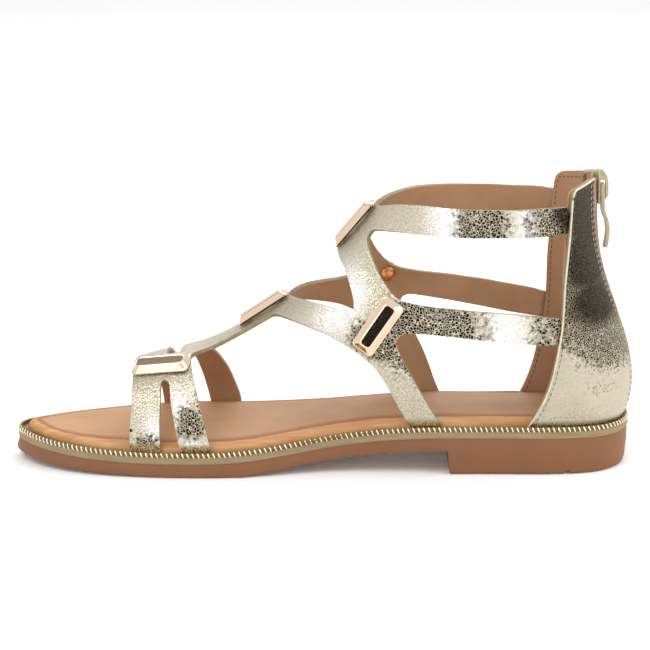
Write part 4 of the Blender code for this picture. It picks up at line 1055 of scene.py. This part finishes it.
def make_insole():
    """The footbed: a low crown and a mark of each point's way from the edge."""
    piece = copy_of("insole", "footbed_pad")
    crease_sharp_edges(piece, 60, 0.9)
    subdivide(piece, 2)
    select_top(piece, 0.9)
    pick(piece)
    bpy.ops.object.mode_set(mode="EDIT")
    bpy.ops.mesh.subdivide(number_cuts=4)
    bpy.ops.object.mode_set(mode="OBJECT")
    piece.data.materials.append(FOOTBED)
    smooth(piece, 60)

    points = points_of(piece)
    x, y = points[:, 0], points[:, 1]
    heel = share_of(x, HEEL_ZONE)
    border = WELT_OUTLINE[:, :2]
    away = np.array([np.min(np.hypot(*(border - point[:2]).T)) for point in points])
    away -= MARGIN + (HEEL_MARGIN - MARGIN) * heel
    crown = FOOTBED_CROWN * np.clip(away / CROWN_RUN, 0, 1) * (over_welt(points) > OVER_WELT)
    for vert, rise in zip(piece.data.vertices, crown):
        vert.co.z += rise
    close_gap(piece, "welt", DOWN)
    far_side = share_of(y, FAR_SIDE_ZONE) * share_of(x, TIP_ZONE)
    narrower = 1 + heel * NARROWER_AT_HEEL + share_of(x, TOE_ZONE) * NARROWER_AT_TOE
    narrower += far_side * NARROWER_FAR_SIDE
    store(piece, "from_edge", away * narrower / FOOTBED_BAND)
    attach(piece, "shoe")
    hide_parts("insole")


def make_sole():
    piece = copy_of("outsole", "sole_unit")
    bevel(piece, SOLE_ROUNDING, 40)
    close_gap(piece, "welt", UP)
    piece.data.materials.append(RUBBER)
    smooth(piece, 40)
    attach(piece, "shoe")
    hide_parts("outsole")
    piece = copy_of("welt", "welt_board")
    piece.data.materials.append(WELT)
    smooth(piece, 40)
    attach(piece, "shoe")
    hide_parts("welt")


def make_beading():
    """The gold cord round the welt's top edge, as slanted beads on a thin strip that is painted
    dark as shade between them.
    """
    ring = copy_of("welt_trim", "beading_strip")
    even, ahead = evenly(WELT_OUTLINE, BEAD_PITCH, closed=True)
    middle = np.array(SOLE_MIDDLE)
    near = ahead[np.argmin(even[:, 1])]
    lean = math.copysign(BEAD_LEAN, -near[0])
    frames = []
    for place, direction in zip(even, ahead):
        direction = Vector(direction).normalized()
        out = direction.cross(UP).normalized()
        if out.dot(Vector(place - middle)) < 0:
            out = -out
        long_way = (UP + direction * lean - out * BEAD_LEAN_IN).normalized()
        flat_way = long_way.cross(out).normalized()
        out = flat_way.cross(long_way).normalized()
        centre = Vector(place) - out * BEAD_INWARD - UP * BEAD_DOWN
        axes = [way * size for way, size in zip((flat_way, out, long_way), BEAD_SIZE)]
        frames.append((centre, axes))
    beads = copies("beading", small_ball(), frames, GOLD)
    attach(beads, "shoe")
    # The strip's dark brown is painted shade between the beads
    ring.data.materials.append(BEAD_GAP_SHADE)
    smooth(ring, 40)
    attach(ring, "shoe")
    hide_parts("welt_trim")


# Plates whose near wall is painted dark, a painted reflection of something dark, and how far that
# wall faces the inner side
SHADED_PLATES = ("bar_ankle", "bar_instep")
NEAR_WALL = 0.80

# A place inside the foot for each plate: this point, moved in x by a share of the plate's x
FOOT_PLACE = Vector((-0.02, 0.003, 0.02))
FOOT_SHARE = 0.6


def outward_area(patch):
    """The area of a patch that looks away from the foot, so that a plate's back doesn't count."""
    middle = sum((face.calc_center_median() for face in patch), Vector()) / len(patch)
    inside = FOOT_PLACE + Vector((middle.x * FOOT_SHARE, 0, 0))
    return sum(face.calc_area() for face in patch if face.normal.dot(middle - inside) > 0)


def raise_crown(piece):
    """Frames a plate's top face with a narrow ring and raises it a little."""
    mesh = bmesh.new()
    mesh.from_mesh(piece.data)
    plate = max(patches_of(mesh, math.radians(FLAT)), key=outward_area)
    crown = {face.index for face in plate}
    for face in mesh.faces:
        face.select_set(face.index in crown)
    mesh.to_mesh(piece.data)
    mesh.free()
    pick(piece)
    bpy.ops.object.mode_set(mode="EDIT")
    bpy.ops.mesh.inset(thickness=CROWN_INSET, depth=CROWN_RISE, use_even_offset=True)
    bpy.ops.object.mode_set(mode="OBJECT")


def make_plate(node):
    piece = copy_of(node, f"plate_{node[4:]}")
    raise_crown(piece)
    smooth(piece, 180)
    bevel(piece, BAR_ROUNDING, 8, segments=3, harden=True)
    piece.data.materials.append(POLISHED)
    # The near wall gets the dark metal: a painted reflection
    if node in SHADED_PLATES:
        piece.data.materials.append(SHADED_METAL)
        for face in piece.data.polygons:
            face.material_index = int(face.normal.y < -NEAR_WALL)
    return piece


def make_stud(node):
    piece = copy_of(node, f"stud_{node[6:]}")
    bevel(piece, SMALL_ROUNDING, 30)
    piece.data.materials.append(COPPER)
    smooth(piece, 60)
    return piece


def make_zip_metal(node):
    piece = copy_of(node, f"{node}_body", quads=node == "zip_pull")
    bevel(piece, SMALL_ROUNDING, 35)
    piece.data.materials.append(PAINTED)
    smooth(piece, 45)
    return piece


def make_metalwork():
    """The bars, the rivets, and the zip's slider and pull."""
    for node in sorted(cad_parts):
        if node.startswith("bar_"):
            piece, slot = make_plate(node), "polished_gold"
        elif node.startswith("rivet_"):
            piece, slot = make_stud(node), "copper"
        elif node in ("zip_slider", "zip_pull"):
            piece, slot = make_zip_metal(node), "painted_zip"
        else:
            continue
        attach(piece, "pull_tab" if node == "zip_pull" else "shoe")
        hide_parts(node)


def coil_line():
    """Points up the middle of the coil's back, from rays toward the toe."""
    tree = surface_tree(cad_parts["zip_coil"])
    low, high = (corner[2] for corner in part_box("zip_coil"))
    path = []
    for z in np.linspace(low + COIL_ENDS[0], high - COIL_ENDS[1], COIL_RAYS):
        hit = tree.ray_cast(Vector((BEHIND_HEEL, BESIDE_MIDDLE, z)), -TOWARD_HEEL)[0]
        if hit:
            path.append(hit)
    return path


def make_teeth():
    """The coil's teeth, which lean in from both sides in turn."""
    frames = []
    for k, (place, direction) in enumerate(zip(*evenly(coil_line(), COIL_PITCH / 2))):
        side = Vector((0, 1 if k % 2 else -1, 0))
        direction = Vector(direction).normalized()
        out = Vector((0, 1, 0)).cross(direction).normalized()
        if out.x < 0:
            out = -out
        across = (side + direction * TOOTH_LEAN).normalized()
        upward = across.cross(out).normalized()
        centre = Vector(place) + side * TOOTH_ASIDE - out * TOOTH_SUNK
        axes = [way * size for way, size in zip((across, upward, out), TOOTH_SIZE)]
        frames.append((centre, axes))
    teeth = copies("zip_teeth", small_ball(5), frames, PAINTED)
    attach(teeth, "shoe")


def make_zip():
    """The teeth, the strip under them, and the tapes, which meet the strip below the slider."""
    make_teeth()
    core = copy_of("zip_coil", "zip_core")
    core.data.materials.append(TAPE)
    smooth(core, 40)
    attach(core, "shoe")
    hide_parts("zip_coil")
    below_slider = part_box("zip_slider")[0][2] - SLIDER_CLEARANCE
    beside_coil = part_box("zip_coil")[1][1] + TOUCH
    for word in ("inner", "outer"):
        piece = copy_of(f"zip_tape_{word}", f"tape_{word}")
        for vert in piece.data.vertices:
            if abs(vert.co.y) < TAPE_EDGE_ZONE and vert.co.z < below_slider:
                vert.co.y = math.copysign(beside_coil, vert.co.y)
        piece.data.materials.append(TAPE)
        smooth(piece, 40)
        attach(piece, "shoe")
        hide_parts(f"zip_tape_{word}")


make_straps()
make_counter("inner")
make_counter("outer")
make_insole()
make_sole()
make_beading()
make_metalwork()
make_zip()


# Floor, light and camera

FLOOR_SIZE = 60

# Lamps: name, place, aim, size, power
LIGHTS = (
    ("key", (-0.65, -0.8, 1.4), (-0.09, 0, 0.04), (0.8, 0.8), 7),
    ("fill", (0.9, -0.3, 0.9), (-0.05, 0, 0.05), (0.7, 0.7), 5),
    ("back", (-0.1, 1.0, 1.1), (-0.09, 0, 0.04), (1.2, 0.6), 7),
)

# Places in the white surroundings that the metal mirrors: direction, nearness at the start and
# the end of the fade, brightness
SHADES = (
    ((-0.20, -0.98, 0.05), 0.950, 0.985, 0.02),
    ((-0.35, 0.60, 0.72), 0.780, 0.940, 0.34),
    ((-0.52, -0.84, 0.17), 0.945, 0.975, 1.90),
)
WORLD_STRENGTH = 0.93


def make_floor():
    deselect()
    bpy.ops.mesh.primitive_plane_add(size=FLOOR_SIZE, location=(0, 0, 0))
    floor = bpy.context.object
    floor.name = "floor"
    finish = Finish("floor_paper", Roughness=0.8)
    finish.give("Base Color", finish.ramp(finish.noise(3, 2.0), (0.0, 0.93), (1.0, 0.95)))
    finish.give("Emission Color", (1.0, 1.0, 1.0, 1))
    finish.give("Emission Strength", 0.06)
    floor.data.materials.append(finish.material)


def make_light(name, place, aim, size, power):
    light = bpy.data.lights.new(name, "AREA")
    light.shape = "RECTANGLE"
    light.size, light.size_y = size
    light.energy = power
    lamp = bpy.data.objects.new(name, light)
    lamp.location = place
    lamp.rotation_euler = (Vector(aim) - Vector(place)).to_track_quat("-Z", "Y").to_euler()
    bpy.context.scene.collection.objects.link(lamp)


def make_world():
    """White all round, apart from the shades."""
    world = bpy.data.worlds.new("studio")
    world.use_nodes = True
    bpy.context.scene.world = world
    nodes = Nodes(world.node_tree)
    background = nodes.tree.nodes["Background"]
    ray = nodes.add("ShaderNodeTexCoord").outputs["Generated"]
    colour = (1.0, 1.0, 1.0, 1)
    for direction, start, end, brightness in SHADES:
        nearness = nodes.add("ShaderNodeVectorMath", operation="DOT_PRODUCT")
        nodes.put(nearness.inputs[0], ray)
        nearness.inputs[1].default_value = Vector(direction).normalized()
        fade = nodes.add("ShaderNodeMapRange", interpolation_type="SMOOTHSTEP")
        nodes.put(fade.inputs["From Min"], start)
        nodes.put(fade.inputs["From Max"], end)
        nodes.put(fade.inputs["Value"], nearness.outputs["Value"])
        shade = (brightness, brightness, brightness, 1)
        colour = nodes.mix(fade.outputs["Result"], colour, shade)
    nodes.put(background.inputs["Color"], colour)
    nodes.put(background.inputs["Strength"], WORLD_STRENGTH)


def make_camera():
    camera = bpy.data.cameras.new("camera")
    camera.sensor_width = CAMERA_SENSOR
    camera.lens = CAMERA_LENS
    camera.shift_x, camera.shift_y = CAMERA_SHIFT
    camera.clip_start = 0.05
    holder = bpy.data.objects.new("camera", camera)
    holder.location = CAMERA_PLACE
    aim = Vector(CAMERA_AIM) - Vector(CAMERA_PLACE)
    holder.rotation_euler = aim.to_track_quat("-Z", "Y").to_euler()
    bpy.context.scene.collection.objects.link(holder)
    bpy.context.scene.camera = holder


make_floor()
for settings in LIGHTS:
    make_light(*settings)
make_world()
make_camera()
bpy.context.scene.view_settings.view_transform = "Standard"
